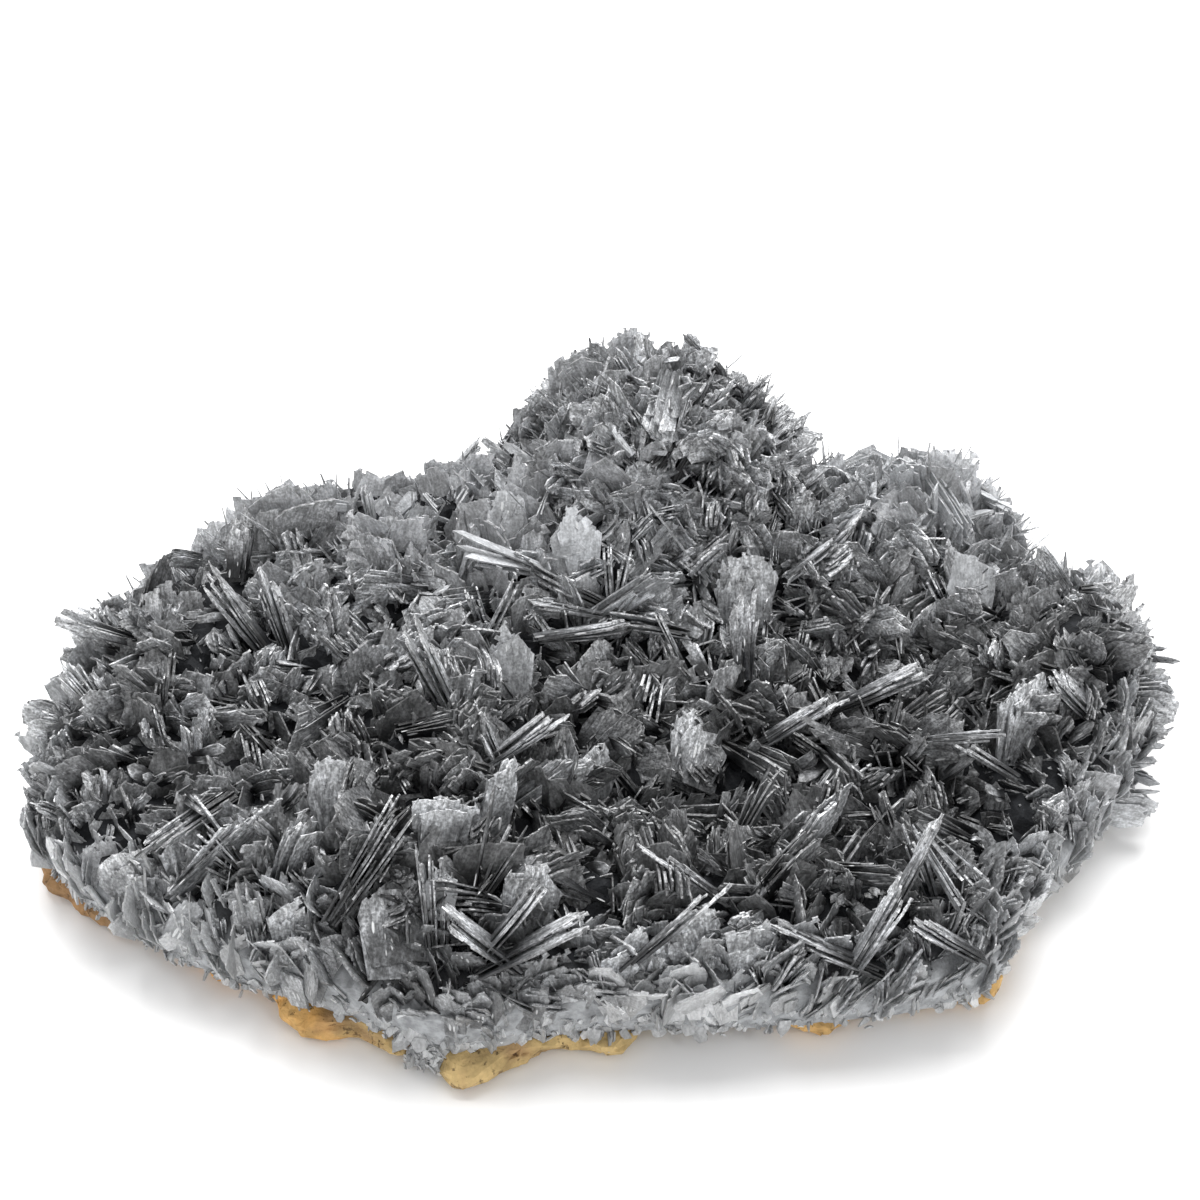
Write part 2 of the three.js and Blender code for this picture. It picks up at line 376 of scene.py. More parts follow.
def map_skin(mesh: Mesh, places: np.ndarray) -> None:
    """Gives a mesh its UV map, with one place for each corner."""
    mesh.uv_layers.new(name="OFBake").data.foreach_set("uv", places.astype(np.float32).ravel())


def new_object(name: str, mesh: Mesh, collection: Collection = None) -> Object:
    """Links a mesh into a collection as an object at the origin, and returns it."""
    obj = bpy.data.objects.new(name, mesh)
    (collection or bpy.context.scene.collection).objects.link(obj)
    return obj


def lay_out_cells(mesh: Mesh) -> None:
    """Gives each leaf of a realized mesh its own square cell of the UV map, so that no two share one.

    Args:
        mesh: The mesh.
    """
    faces, corners = len(mesh.polygons), len(mesh.loops)
    blade = read(mesh.attributes["blade"].data, "value", faces)
    vertex = read(mesh.loops, "vertex_index", corners)
    books = read(mesh.attributes["book"].data, "value", len(mesh.vertices))
    book = books[vertex[read(mesh.polygons, "loop_start", faces)]]
    _, cell = np.unique(book.astype(np.int64) * BLADES_MOST + blade, return_inverse=True)
    side = math.ceil(math.sqrt(cell.max() + 1))
    cell = np.repeat(cell, read(mesh.polygons, "loop_total", faces))
    uv = read(mesh.attributes["leaf_uv"].data, "vector", corners * 2, np.float32).reshape(-1, 2)
    uv = (np.stack([cell % side, cell // side], 1) + uv) / side
    mesh.attributes.remove(mesh.attributes["leaf_uv"])
    map_skin(mesh, uv)


# ------------ books of blades


class Habit(Enum):
    """How the blades of a book are shaped."""

    BAR = "bar"  # parallel sides and a blunt, slanted end
    RHOMB = "rhomb"  # widest halfway up, with a point
    PLATE = "plate"  # a broad six-sided plate
    LATH = "lath"  # long and narrow, with a slanted end
    SPLINTER = "splinter"  # thin as a needle
    CHIP = "chip"  # a broken, many-cornered flake


BAR, RHOMB, PLATE, LATH, SPLINTER, CHIP = Habit


def habit_corners(habit: Habit, rng: Generator) -> np.ndarray:
    """The corners of one blade of a habit.

    Args:
        habit: Its habit.
        rng: Where its irregularities come from.

    Returns:
        Its corners from the right foot round to the left, as shares of its size.
    """
    lean = rng.uniform(-0.3, 0.3)
    low, high = rng.uniform(0.25, 0.5, 2), rng.uniform(0.74, 0.97, 2)
    if habit is BAR:
        corners = [
            (0.42, 0), (0.5, low[0] + 0.1), (0.45, high[0]), (lean, 1), (-0.45, high[1]), (-0.5, low[1]),
            (-0.42, 0),
        ]
    elif habit is RHOMB:
        corners = [
            (0.34, 0), (0.5, low[0] + 0.15), (lean + 0.06, 1), (lean - 0.08, 0.97), (-0.5, low[1] + 0.15),
            (-0.34, 0),
        ]
    elif habit is PLATE:
        corners = [
            (0.34, 0), (0.5, low[0]), (0.44, high[0] - 0.12), (0.22 + 0.4 * lean, 1),
            (0.4 * lean - 0.2, 0.96), (-0.46, high[1] - 0.15), (-0.5, low[1]), (-0.34, 0),
        ]
    elif habit is LATH:
        corners = [(0.4, 0), (0.5, 0.5), (0.42, high[0]), (lean, 1), (-0.46, high[1]), (-0.5, 0.3), (-0.4, 0)]
    elif habit is SPLINTER:
        corners = [(0.4, 0), (0.5, 0.6), (0.1, 1), (-0.5, 0.7), (-0.4, 0)]
    else:
        count = 7
        turn = (np.arange(count) + rng.uniform(-0.3, 0.3, count)) * 2 * math.pi / count
        away = rng.uniform(0.43, 0.55, count)
        return np.stack([np.cos(turn) * away, np.sin(turn) * away], 1)
    return np.array(corners, float)


def frayed(
    corners: np.ndarray, step: float, deep: float, rng: Generator, closed: bool
) -> np.ndarray:
    """Breaks the edges of an outline into small steps, finely at the tip and coarsely along the sides.

    Args:
        corners: Its corners, anticlockwise, in mm.
        step: How wide the steps at the tip are, about.
        deep: How far in they reach, but for a few that reach further.
        rng: Where the irregularities come from.
        closed: Whether it is a flake, broken all round alike.

    Returns:
        The outline with its steps.
    """
    line = []
    high = corners[:, 1].max()
    for i, start in enumerate(corners):
        end = corners[(i + 1) % len(corners)]
        if i == len(corners) - 1 and not closed:
            line.append(start)
            continue
        way = end - start
        length = float(np.hypot(*way))
        inward = np.array((-way[1], way[0])) / max(length, 1e-6)
        at_tip = closed or (start[1] + end[1]) > 1.2 * high
        count = max(1, round(length / (step if at_tip else 5.5 * step)))
        bounds = (np.arange(count + 1) + np.append(rng.uniform(-0.3, 0.3, count), 0)) / count
        bounds[0] = 0
        limit = min(deep, 0.3 * length) * (1 if at_tip else 0.6)
        for left, right in zip(bounds, bounds[1:]):
            bite = limit * (rng.uniform(0, 1) ** 1.5 + (rng.uniform(0.3, 1.4) if rng.random() < 0.12 else 0))
            slant = 0.25 * limit * rng.uniform(-1, 1)
            line.append(start + way * left + inward * bite)
            if at_tip and (count > 1 or length > step):
                line.append(start + way * (right - 0.04 / count) + inward * max(bite + slant, 0))
    return np.array(line)


@dataclass(frozen=True)
class BookDesign:
    """One kind of book: a stack of blades rooted together. Sizes in mm, angles in degrees."""

    habit: Habit
    width: Pair
    reach: Pair
    blades: tuple[int, int]
    pitch: Pair = (0.22, 0.62)
    solid: Pair = (0.74, 0.96)
    fan: Pair = (-0.3, 1.6)
    ragged: float = 1.0
    terrace: float = 0.4
    bend: float = 0.4
    step: float = 1.9
    notch: float = 1.3
    root: float = 5.0
    taper: float = 0.1

    def build(self, name: str, seed: int, collection: Collection) -> Object:
        """Makes one book of this design.

        Args:
            name: Its object's name.
            seed: Seed of its irregularities.
            collection: Where it is kept.

        Returns:
            The book, rooted at its origin and standing along +Y.
        """
        rng = np.random.default_rng(seed)
        leaves = Leafwork()
        self.stack(leaves, rng)
        return new_object(name, leaves.mesh(name), collection)

    def stack(self, leaves: Leafwork, rng: Generator) -> None:
        """Adds the book's blades to leaves.

        Args:
            leaves: What they are added to.
            rng: Where their irregularities come from.
        """
        count = max(2, int(rng.integers(self.blades[0], self.blades[1] + 1)))
        width, reach = rng.uniform(*self.width), rng.uniform(*self.reach)
        fan, bend = rng.uniform(*self.fan), rng.uniform(-self.bend, self.bend)
        common = habit_corners(self.habit, rng)
        pitch = rng.uniform(*self.pitch, count)
        middle = int(rng.integers(count))
        offs, spread = np.cumsum(pitch), np.cumsum(rng.uniform(0, 1, count) ** 2 * 3) * fan
        offs, spread = offs - offs[middle], spread - spread[middle]
        for i in range(count):
            away = abs(i - middle) / max(count - 1, 1)
            fade = 1 - self.terrace * away * rng.uniform(0.6, 1.4)
            wide = width * (0.3 + 0.7 * fade) * rng.uniform(0.7, 1.08)
            size = np.array((wide, reach * fade * rng.uniform(0.68, 1.06)))
            blade = common * 0.65 + habit_corners(self.habit, rng) * 0.35 if away > 0 else common
            corners = (blade + rng.normal(0, 0.045, blade.shape)) * size
            if self.habit is not CHIP:
                foot = np.array([(corners[-1][0], -self.root), (corners[0][0], -self.root)])
                corners = np.vstack([foot, corners[1:-1]])
                corners[2:, 1] = np.maximum(corners[2:, 1], 0.1 * reach)
            notch = self.notch * rng.uniform(0.3, 1.2)
            outline = frayed(corners, self.step * rng.uniform(0.8, 1.3), notch, rng, self.habit is CHIP)
            tilt = Euler((
                math.radians(spread[i] + rng.normal(0, self.ragged * 0.5)),
                math.radians(rng.normal(0, self.ragged * 0.6)),
                math.radians(rng.normal(0, self.ragged * 2.6)),
            ))
            shift = Vector((rng.normal(0, 0.09) * width, rng.normal(0, 0.7), offs[i]))
            place = Matrix.Translation(shift) @ root_turn(tilt, self.root)
            thick = pitch[i] * rng.uniform(*self.solid)
            leaves.add_plate(outline, thick, self.taper, bend, place, float(rng.uniform(-1, 1)))


def root_turn(tilt: Euler, root: float) -> Matrix:
    """A turn about a blade's foot, root mm below its origin."""
    down = Matrix.Translation((0, -root, 0))
    return down @ tilt.to_matrix().to_4x4() @ down.inverted()


@dataclass(frozen=True)
class Landmark:
    """A book that stands out from the rest. Sizes in mm, in plan coordinates; angles in degrees."""

    habit: Habit
    at: Pair
    heading: float  # the way it grows, as seen from the front: 0 to the right, 90 up
    reach: float
    width: float
    blades: int = 6
    turn: float = 0.0  # 0 shows the front its edges, 90 its faces
    rise: float = 58.0  # how steep the plane is that it grows in
    raised: float = 3.0
    milk: float = 0.1
    fan: float = 0.8
    terrace: float = 0.35

    def design(self) -> BookDesign:
        """The design of its one book.

        Returns:
            A design that leaves nothing but its blades to chance.
        """
        return BookDesign(
            self.habit, (self.width,) * 2, (0.9 * self.reach,) * 2, (self.blades,) * 2, fan=(self.fan,) * 2,
            terrace=self.terrace, step=1.2, ragged=1.5, root=min(6.0, 0.4 * self.reach),
        )

    def growth(self) -> tuple[float, float, float]:
        """The direction it grows in."""
        heading, rise = math.radians(self.heading), math.radians(self.rise)
        return math.cos(heading), math.sin(heading) * math.cos(rise), math.sin(heading) * math.sin(rise)


@dataclass
class BookShelf:
    """A collection of books of several designs to pick from, a few of each."""

    name: str
    designs: tuple[BookDesign, ...]
    copies: int
    seed: int
    collection: Collection = field(init=False, default=None)

    def build(self) -> "BookShelf":
        """Makes the books.

        Returns:
            The shelf.
        """
        self.collection = bpy.data.collections.new(self.name)
        for d, design in enumerate(self.designs):
            for c in range(self.copies):
                index = d * self.copies + c
                design.build(f"{self.name}_{index:03d}", self.seed + index, self.collection)
        return self

    def pick(self, rng: Generator, shares: tuple[float, ...], count: int) -> np.ndarray:
        """Picks books at random.

        Args:
            rng: Where the choice comes from.
            shares: How often each design is picked, against the others.
            count: How many books to pick.

        Returns:
            Their numbers on the shelf.
        """
        design = rng.choice(len(self.designs), count, p=np.array(shares) / sum(shares))
        return design * self.copies + rng.integers(0, self.copies, count)

    def clear(self) -> None:
        """Removes the books once they have been placed."""
        for obj in list(self.collection.objects):
            mesh = obj.data
            bpy.data.objects.remove(obj)
            bpy.data.meshes.remove(mesh)
        bpy.data.collections.remove(self.collection)


@dataclass
class Sites:
    """Where the books of one piece stand, one row each: places in mm, in plan coordinates."""

    place: np.ndarray
    growth: np.ndarray
    facing: np.ndarray
    size: np.ndarray
    kind: np.ndarray
    milk: np.ndarray

    def turns(self) -> np.ndarray:
        """Each book's turn.

        Returns:
            Euler angles, one row each: X across its blades, Y along its growth, Z through them.
        """
        turns = np.zeros((len(self.size), 3), np.float32)
        for i, (growth, facing) in enumerate(zip(self.growth, self.facing)):
            up = Vector(growth).normalized()
            side = Vector((math.cos(facing), math.sin(facing), 0))
            through = side - up * side.dot(up)
            if through.length < 1e-3:
                through = Vector((0, 0, 1)) - up * up.z
            through.normalize()
            across = up.cross(through)
            turns[i] = Matrix((across, up, through)).transposed().to_euler()
        return turns

    def clear_of(self, spots: np.ndarray, gap: float) -> "Sites":
        """Those sites that lie at least gap from every one of these plan points."""
        return self.only(np.linalg.norm(self.place[:, None, :2] - spots[None], axis=2).min(1) > gap)

    def only(self, which: object) -> "Sites":
        """Those sites that a mask or a slice picks."""
        return Sites(**{name: getattr(self, name)[which] for name in self.__dataclass_fields__})

    def __add__(self, other: "Sites") -> "Sites":
        """Both lots of sites together.

        Args:
            other: The second lot.

        Returns:
            All the sites.
        """
        both = {}
        for name in self.__dataclass_fields__:
            both[name] = np.concatenate([getattr(self, name), getattr(other, name)])
        return Sites(**both)

    def mesh(self, name: str) -> Mesh:
        """Makes a mesh of bare points that carries each site's attributes.

        Args:
            name: Its name.

        Returns:
            The mesh, in metres.
        """
        mesh = bpy.data.meshes.new(name)
        mesh.from_pydata(to_frame(self.place).tolist(), [], [])
        store(mesh, "turn", "FLOAT_VECTOR", "POINT", self.turns())
        store(mesh, "size", "FLOAT", "POINT", self.size)
        store(mesh, "kind", "INT", "POINT", self.kind)
        store(mesh, "milk", "FLOAT", "POINT", self.milk)
        return mesh


# ------------ nodes


class Nodes:
    """Adds nodes to a tree, and links them as it goes."""

    def __init__(self, tree: NodeTree) -> None:
        """Keeps the tree that the nodes go in."""
        self.tree = tree

    def bare(self, kind: str, **settings: object) -> Node:
        """Adds a node with nothing at its inputs.

        Args:
            kind: Its kind.
            **settings: Its settings by name.

        Returns:
            The node.
        """
        made = self.tree.nodes.new(kind)
        for name, value in settings.items():
            setattr(made, name, value)
        return made

    def feed(self, socket: NodeSocket, value: object) -> None:
        """Links an output into a socket, or sets its value.

        Args:
            socket: The socket.
            value: The output, or the value.
        """
        if isinstance(value, NodeSocket):
            self.tree.links.new(value, socket)
        else:
            socket.default_value = value

    def fill(self, node: Node, **inputs: object) -> Node:
        """Gives a node's inputs values or links.

        Args:
            node: The node.
            **inputs: A value or a link for each input by name, in which _ stands for a space.

        Returns:
            The node.
        """
        for name, value in inputs.items():
            self.feed(node.inputs[name.replace("_", " ")], value)
        return node

    def node(self, kind: str, **inputs: object) -> Node:
        """Adds a node of a kind, with values or links for its inputs by name."""
        return self.fill(self.bare(kind), **inputs)

    def math(self, operation: str, a: object, b: object = 0.0, clamp: bool = False) -> NodeSocket:
        """The output of a new Math node.

        Args:
            operation: What it does.
            a: Its first value or link.
            b: Its second.
            clamp: Whether the result is kept from 0 to 1.

        Returns:
            Its output.
        """
        made = self.bare("ShaderNodeMath", operation=operation, use_clamp=clamp)
        self.feed(made.inputs[0], a)
        self.feed(made.inputs[1], b)
        return made.outputs[0]

    def times(self, a: object, b: object, clamp: bool = False) -> NodeSocket:
        """The product of two values or links."""
        return self.math("MULTIPLY", a, b, clamp)

    def plus(self, a: object, b: object, clamp: bool = False) -> NodeSocket:
        """The sum of two values or links."""
        return self.math("ADD", a, b, clamp)

    def minus(self, a: object, b: object) -> NodeSocket:
        """The first of two values or links without the second."""
        return self.math("SUBTRACT", a, b)


class BookTree(Nodes):
    """The Geometry Nodes tree that stands a book at each site and makes them one mesh."""

    def __init__(self) -> None:
        """Builds the tree."""
        super().__init__(bpy.data.node_groups.new("stand_books", "GeometryNodeTree"))
        face = self.tree.interface
        face.new_socket("Geometry", in_out="INPUT", socket_type="NodeSocketGeometry")
        self.inputs = {
            name: face.new_socket(name, in_out="INPUT", socket_type=kind).identifier
            for name, kind in (
                ("Books", "NodeSocketCollection"), ("Finish", "NodeSocketMaterial"),
                ("Size", "NodeSocketFloat"), ("Lean", "NodeSocketFloat"), ("Seed", "NodeSocketInt"),
            )
        }
        face.new_socket("Geometry", in_out="OUTPUT", socket_type="NodeSocketGeometry")
        source = self.bare("NodeGroupInput").outputs
        books = self.node(
            "GeometryNodeCollectionInfo", Collection=source["Books"], Separate_Children=True,
            Reset_Children=True,
        )
        turned = self.node("FunctionNodeEulerToRotation", Euler=self.attribute("turn", "FLOAT_VECTOR"))
        stand = self.node(
            "GeometryNodeInstanceOnPoints", Points=source["Geometry"], Instance=books.outputs[0],
            Pick_Instance=True, Instance_Index=self.attribute("kind", "INT"), Rotation=turned.outputs[0],
            Scale=self.times(self.attribute("size", "FLOAT"), source["Size"]),
        )
        lean = self.bare("FunctionNodeRandomValue", data_type="FLOAT_VECTOR")
        self.fill(lean, Min=self.times(source["Lean"], -1.0), Max=source["Lean"], Seed=source["Seed"])
        leaning = self.node(
            "GeometryNodeRotateInstances", Instances=stand.outputs[0], Rotation=lean.outputs["Value"]
        )
        number = self.bare("GeometryNodeStoreNamedAttribute", data_type="INT", domain="INSTANCE")
        index = self.bare("GeometryNodeInputIndex")
        self.fill(number, Geometry=leaning.outputs[0], Name="book", Value=index.outputs[0])
        real = self.node("GeometryNodeRealizeInstances", Geometry=number.outputs[0])
        dress = self.node("GeometryNodeSetMaterial", Geometry=real.outputs[0], Material=source["Finish"])
        self.node("NodeGroupOutput", Geometry=dress.outputs[0])

    def attribute(self, name: str, kind: str) -> NodeSocket:
        """What the points carry under this name."""
        reader = self.bare("GeometryNodeInputNamedAttribute", data_type=kind)
        return self.fill(reader, Name=name).outputs["Attribute"]

    def plant(
        self, name: str, sites: Sites, shelf: BookShelf, finish: Material,
        lean: float = 0.12, seed: int = 1,
    ) -> Object:
        """Stands the shelf's books at the sites.

        Args:
            name: The piece's name.
            sites: Where the books stand.
            shelf: The books to pick from.
            finish: What they are made of.
            lean: Most that each leans at random, in radians.
            seed: Seed of that lean.

        Returns:
            The piece, as one plain mesh.
        """
        points = new_object(name + "_sites", sites.mesh(name + "_sites"))
        modifier = points.modifiers.new("stand_books", "NODES")
        modifier.node_group = self.tree
        values = {"Books": shelf.collection, "Finish": finish, "Size": 1.0, "Lean": lean, "Seed": seed}
        for key, value in values.items():
            modifier[self.inputs[key]] = value
        graph = bpy.context.evaluated_depsgraph_get()
        mesh = bpy.data.meshes.new_from_object(
            points.evaluated_get(graph), preserve_all_data_layers=True, depsgraph=graph
        )
        points.modifiers.remove(modifier)
        bpy.data.objects.remove(points)
        mesh.name = name
        lay_out_cells(mesh)
        for unused in ("turn", "size", "kind", "book", "blade"):
            if unused in mesh.attributes:
                mesh.attributes.remove(mesh.attributes[unused])
        return new_object(name, mesh)


# ------------ finishes


Colour = tuple[float, float, float]


class Shade(Nodes):
    """Adds shader nodes to a tree."""

    @classmethod
    def of_new(cls, name: str) -> tuple[Material, "Shade"]:
        """Makes a new, empty material.

        Args:
            name: Its name.

        Returns:
            The material, and the means to fill it.
        """
        material = bpy.data.materials.new(name)
        material.use_nodes = True
        material.node_tree.nodes.clear()
        return material, cls(material.node_tree)

    def mix(self, share: object, a: object, b: object, blend: str = "MIX") -> NodeSocket:
        """The output of a new Mix node for colours.

        Args:
            share: How much of b there is, from 0 to 1.
            a: A colour or a link.
            b: Another.
            blend: How they are mixed.

        Returns:
            Its colour output.
        """
        made = self.bare("ShaderNodeMix", data_type="RGBA", blend_type=blend)
        self.feed(made.inputs["Factor"], share)
        for key, value in (("A", a), ("B", b)):
            socket = next(s for s in made.inputs if s.name == key and s.type == "RGBA")
            self.feed(socket, value if isinstance(value, NodeSocket) else (*value, 1))
        return next(s for s in made.outputs if s.type == "RGBA")

    def lit(self, base: object, light: NodeSocket) -> NodeSocket:
        """A colour made lighter or darker, as many times as light says."""
        shade = self.node("ShaderNodeCombineColor", Red=light, Green=light, Blue=light).outputs[0]
        return self.mix(1.0, base, shade, "MULTIPLY")

    def ramp(self, share: object, low: float, high: float) -> NodeSocket:
        """The share's way from low to high, as 0 to 1."""
        made = self.node("ShaderNodeMapRange", Value=share, From_Min=low, From_Max=high)
        made.interpolation_type = "SMOOTHSTEP"
        return made.outputs[0]

    def attribute(self, name: str, output: str = "Fac") -> NodeSocket:
        """What the mesh carries under this name, as a number or as a Vector."""
        return self.bare("ShaderNodeAttribute", attribute_name=name).outputs[output]

    def mottled(
        self, mottle: NodeTree, where: NodeSocket, grain: NodeSocket,
        scale: float,
    ) -> Node:
        """Adds the mottle group.

        Args:
            mottle: The group.
            where: The place on the piece, for the clouds and the grit.
            grain: The place on the blade, for the layers and the streaks.
            scale: How many clouds there are to a metre, about.

        Returns:
            Its node.
        """
        made = self.bare("ShaderNodeGroup", node_tree=mottle)
        return self.fill(made, Coordinates=where, Grain=grain, Scale=scale)

    def surface(self, **inputs: object) -> None:
        """Gives the material its shader, with values or links for its inputs by name."""
        shader = self.node("ShaderNodeBsdfPrincipled", **inputs)
        self.node("ShaderNodeOutputMaterial", Surface=shader.outputs[0])


def mottle_group() -> NodeTree:
    """The shader group for cloudiness inside a mineral, its layers and streaks, and painted glints on it.

    Returns:
        A group with inputs Coordinates, Grain, Scale and Dust, and outputs Cloud, Streaks, Steps, Grit,
        Specks and Height. Steps is the lightness of each layer where the layers above it have broken off.
    """
    tree = bpy.data.node_groups.new("mineral_mottle", "ShaderNodeTree")
    face = tree.interface
    for name, kind in (("Coordinates", "Vector"), ("Grain", "Vector"), ("Scale", "Float"), ("Dust", "Float")):
        face.new_socket(name, in_out="INPUT", socket_type="NodeSocket" + kind)
    for name in ("Cloud", "Streaks", "Steps", "Grit", "Specks", "Height"):
        face.new_socket(name, in_out="OUTPUT", socket_type="NodeSocketFloat")
    s = Shade(tree)
    where, grain, scale, dust = list(s.bare("NodeGroupInput").outputs)[:4]
    cloud = s.node("ShaderNodeTexNoise", Vector=where, Scale=scale, Detail=3.0, Roughness=0.62)
    fine = s.node("ShaderNodeTexNoise", Vector=where, Scale=s.times(scale, 5.0), Detail=3.0)
    streak = s.node("ShaderNodeTexNoise", Vector=grain, Scale=1.0, Detail=3.0, Roughness=0.7)
    broad = s.node("ShaderNodeTexNoise", Vector=grain, Scale=0.36, Detail=2.5, Roughness=0.6)
    level = s.math("SNAP", broad.outputs[0], 0.055)
    # painted glints: white specks in some of these cells stand in for glints of light
    cells = s.node("ShaderNodeTexVoronoi", Vector=grain, Scale=0.85)
    lot = s.node("ShaderNodeSeparateColor", Color=cells.outputs["Color"])
    wide = s.times(dust, s.minus(s.times(lot.outputs[0], 2.0), 0.9))
    glint_specks = s.times(s.minus(wide, cells.outputs["Distance"]), 14.0, clamp=True)
    height = s.plus(s.times(fine.outputs[0], 0.5), s.times(streak.outputs[0], 0.9))
    s.node(
        "NodeGroupOutput", Cloud=s.ramp(cloud.outputs[0], 0.3, 0.7),
        Streaks=s.ramp(streak.outputs[0], 0.34, 0.66), Steps=s.math("FRACT", s.times(level, 41.3)),
        Grit=s.ramp(fine.outputs[0], 0.33, 0.67), Specks=glint_specks, Height=s.plus(height, s.times(level, 2.5)),
    )
    return tree


@dataclass(frozen=True)
class BariteFinish:
    """Milky grey, see-through barite, darker at the root as painted shade, lighter where it is cloudy, with
    painted highlights on its edges and painted glints.
    """

    name: str
    # painted shade: the near black at the foot of each blade, down among the books
    root: Colour = (0.012, 0.013, 0.015)
    body: Colour = (0.436, 0.446, 0.463)
    tip: Colour = (0.68, 0.686, 0.696)
    milky: Colour = (0.56, 0.575, 0.595)
    # the white of the painted glints
    speck: Colour = (0.93, 0.94, 0.95)
    draw: tuple[float, float, float] = (1.3, 0.3, 2.4)  # layers to a mm across, along and through a blade
    roughness: float = 0.38
    gloss: float = 0.36
    transmission: float = 0.2
    ior: float = 1.64
    # how many painted glints there are, and how large
    dust: float = 0.33
    cloud_scale: float = 420.0
    clouding: float = 0.76
    layering: float = 1.0
    cleaving: float = 0.5
    grit: float = 0.9
    # how strongly the thin edges get their painted highlight
    edging: float = -0.22
    softening: float = 0.6
    # how much painted shade darkens the thin edges
    fading: float = 0.2
    spread: float = 0.28
    bump: float = 0.75

    def build(self, mottle: NodeTree) -> Material:
        """Makes the material.

        Args:
            mottle: The group for its cloudiness.

        Returns:
            The material.
        """
        material, s = Shade.of_new(self.name)
        where = s.node("ShaderNodeTexCoord").outputs["Object"]
        drawn = s.bare("ShaderNodeVectorMath", operation="MULTIPLY")
        s.feed(drawn.inputs[0], s.attribute("grain", "Vector"))
        s.feed(drawn.inputs[1], self.draw)
        cloudy = s.mottled(mottle, where, drawn.outputs[0], self.cloud_scale)
        s.fill(cloudy, Dust=self.dust)
        rise, tone, milk, rim = (s.attribute(n) for n in ("tip", "tone", "milk", "rim"))
        # painted shade: each blade is darkest at its root, down among the books, and rises to the body colour
        base = s.mix(s.ramp(rise, 0.25, 0.75), self.root, self.body)
        base = s.mix(s.times(s.ramp(rise, 0.65, 1.0), 0.6), base, self.tip)
        # painted highlight: the thin edges of the blades are lightened towards the tip colour, in streaks, as
        # edges that catch the light
        edge = s.plus(self.edging, s.times(cloudy.outputs["Streaks"], 0.6))
        edge = s.times(s.times(rim, edge), s.ramp(rise, 0.3, 0.7))
        base = s.mix(edge, base, self.tip)
        base = s.mix(s.times(milk, 0.85, clamp=True), base, self.milky)
        light = s.plus(1.0, s.times(tone, self.spread))
        # Milk below 0 darkens the colour. Besides random differences, this paints shade on the tufts, on
        # patches towards the front and on a few bars of the hump.
        light = s.times(light, s.plus(1.0, milk, clamp=True))
        # painted shade on the same thin edges, darkening them
        light = s.times(light, s.minus(1.0, s.times(rim, self.fading)))
        clear = s.minus(1.0, s.times(s.ramp(milk, 0.2, 0.9), self.softening))
        layers = s.times(self.layering, s.plus(0.85, s.times(rim, 0.15)))
        parts = (("Cloud", self.clouding), ("Streaks", layers), ("Steps", self.cleaving), ("Grit", self.grit))
        for share, strength in parts:
            wave = s.times(s.minus(cloudy.outputs[share], 0.5), strength)
            light = s.times(light, s.plus(1.0, s.times(wave, clear)))
        # painted glints: white specks mixed over the colour
        base = s.mix(s.times(cloudy.outputs["Specks"], 0.85), s.lit(base, light), self.speck)
        rough = s.minus(self.roughness + 0.08, s.times(cloudy.outputs["Cloud"], 0.16))
        bump = s.node("ShaderNodeBump", Height=cloudy.outputs["Height"], Strength=self.bump, Distance=0.0003)
        s.surface(
            Base_Color=base, Roughness=rough, IOR=self.ior, Transmission_Weight=self.transmission,
            Specular_IOR_Level=self.gloss, Normal=bump.outputs[0],
        )
        return material


@dataclass(frozen=True)
class BedFinish:
    """The dull ground between the books, near black as painted shade, milky only where the broken side cuts
    it.
    """

    name: str = "barite_bed"
    # painted shade: the near black of the hollows between the books
    dark: Colour = (0.011, 0.012, 0.014)
    milky: Colour = (0.4, 0.412, 0.426)
    cloud_scale: float = 420.0

    def build(self, mottle: NodeTree) -> Material:
        """Makes the material.

        Args:
            mottle: The group for its cloudiness.

        Returns:
            The material.
        """
        material, s = Shade.of_new(self.name)
        where = s.node("ShaderNodeTexCoord").outputs["Object"]
        cloudy = s.mottled(mottle, where, where, self.cloud_scale)
        base = s.mix(s.attribute("milk"), self.dark, self.milky)
        light = s.plus(0.7, s.times(cloudy.outputs["Cloud"], 0.6))
        bump = s.node("ShaderNodeBump", Height=cloudy.outputs["Height"], Strength=0.7, Distance=0.0006)
        rough = s.minus(0.85, s.times(cloudy.outputs["Cloud"], 0.2))
        s.surface(
            Base_Color=s.lit(base, light), Roughness=rough, Specular_IOR_Level=0.2, Normal=bump.outputs[0]
        )
        return material


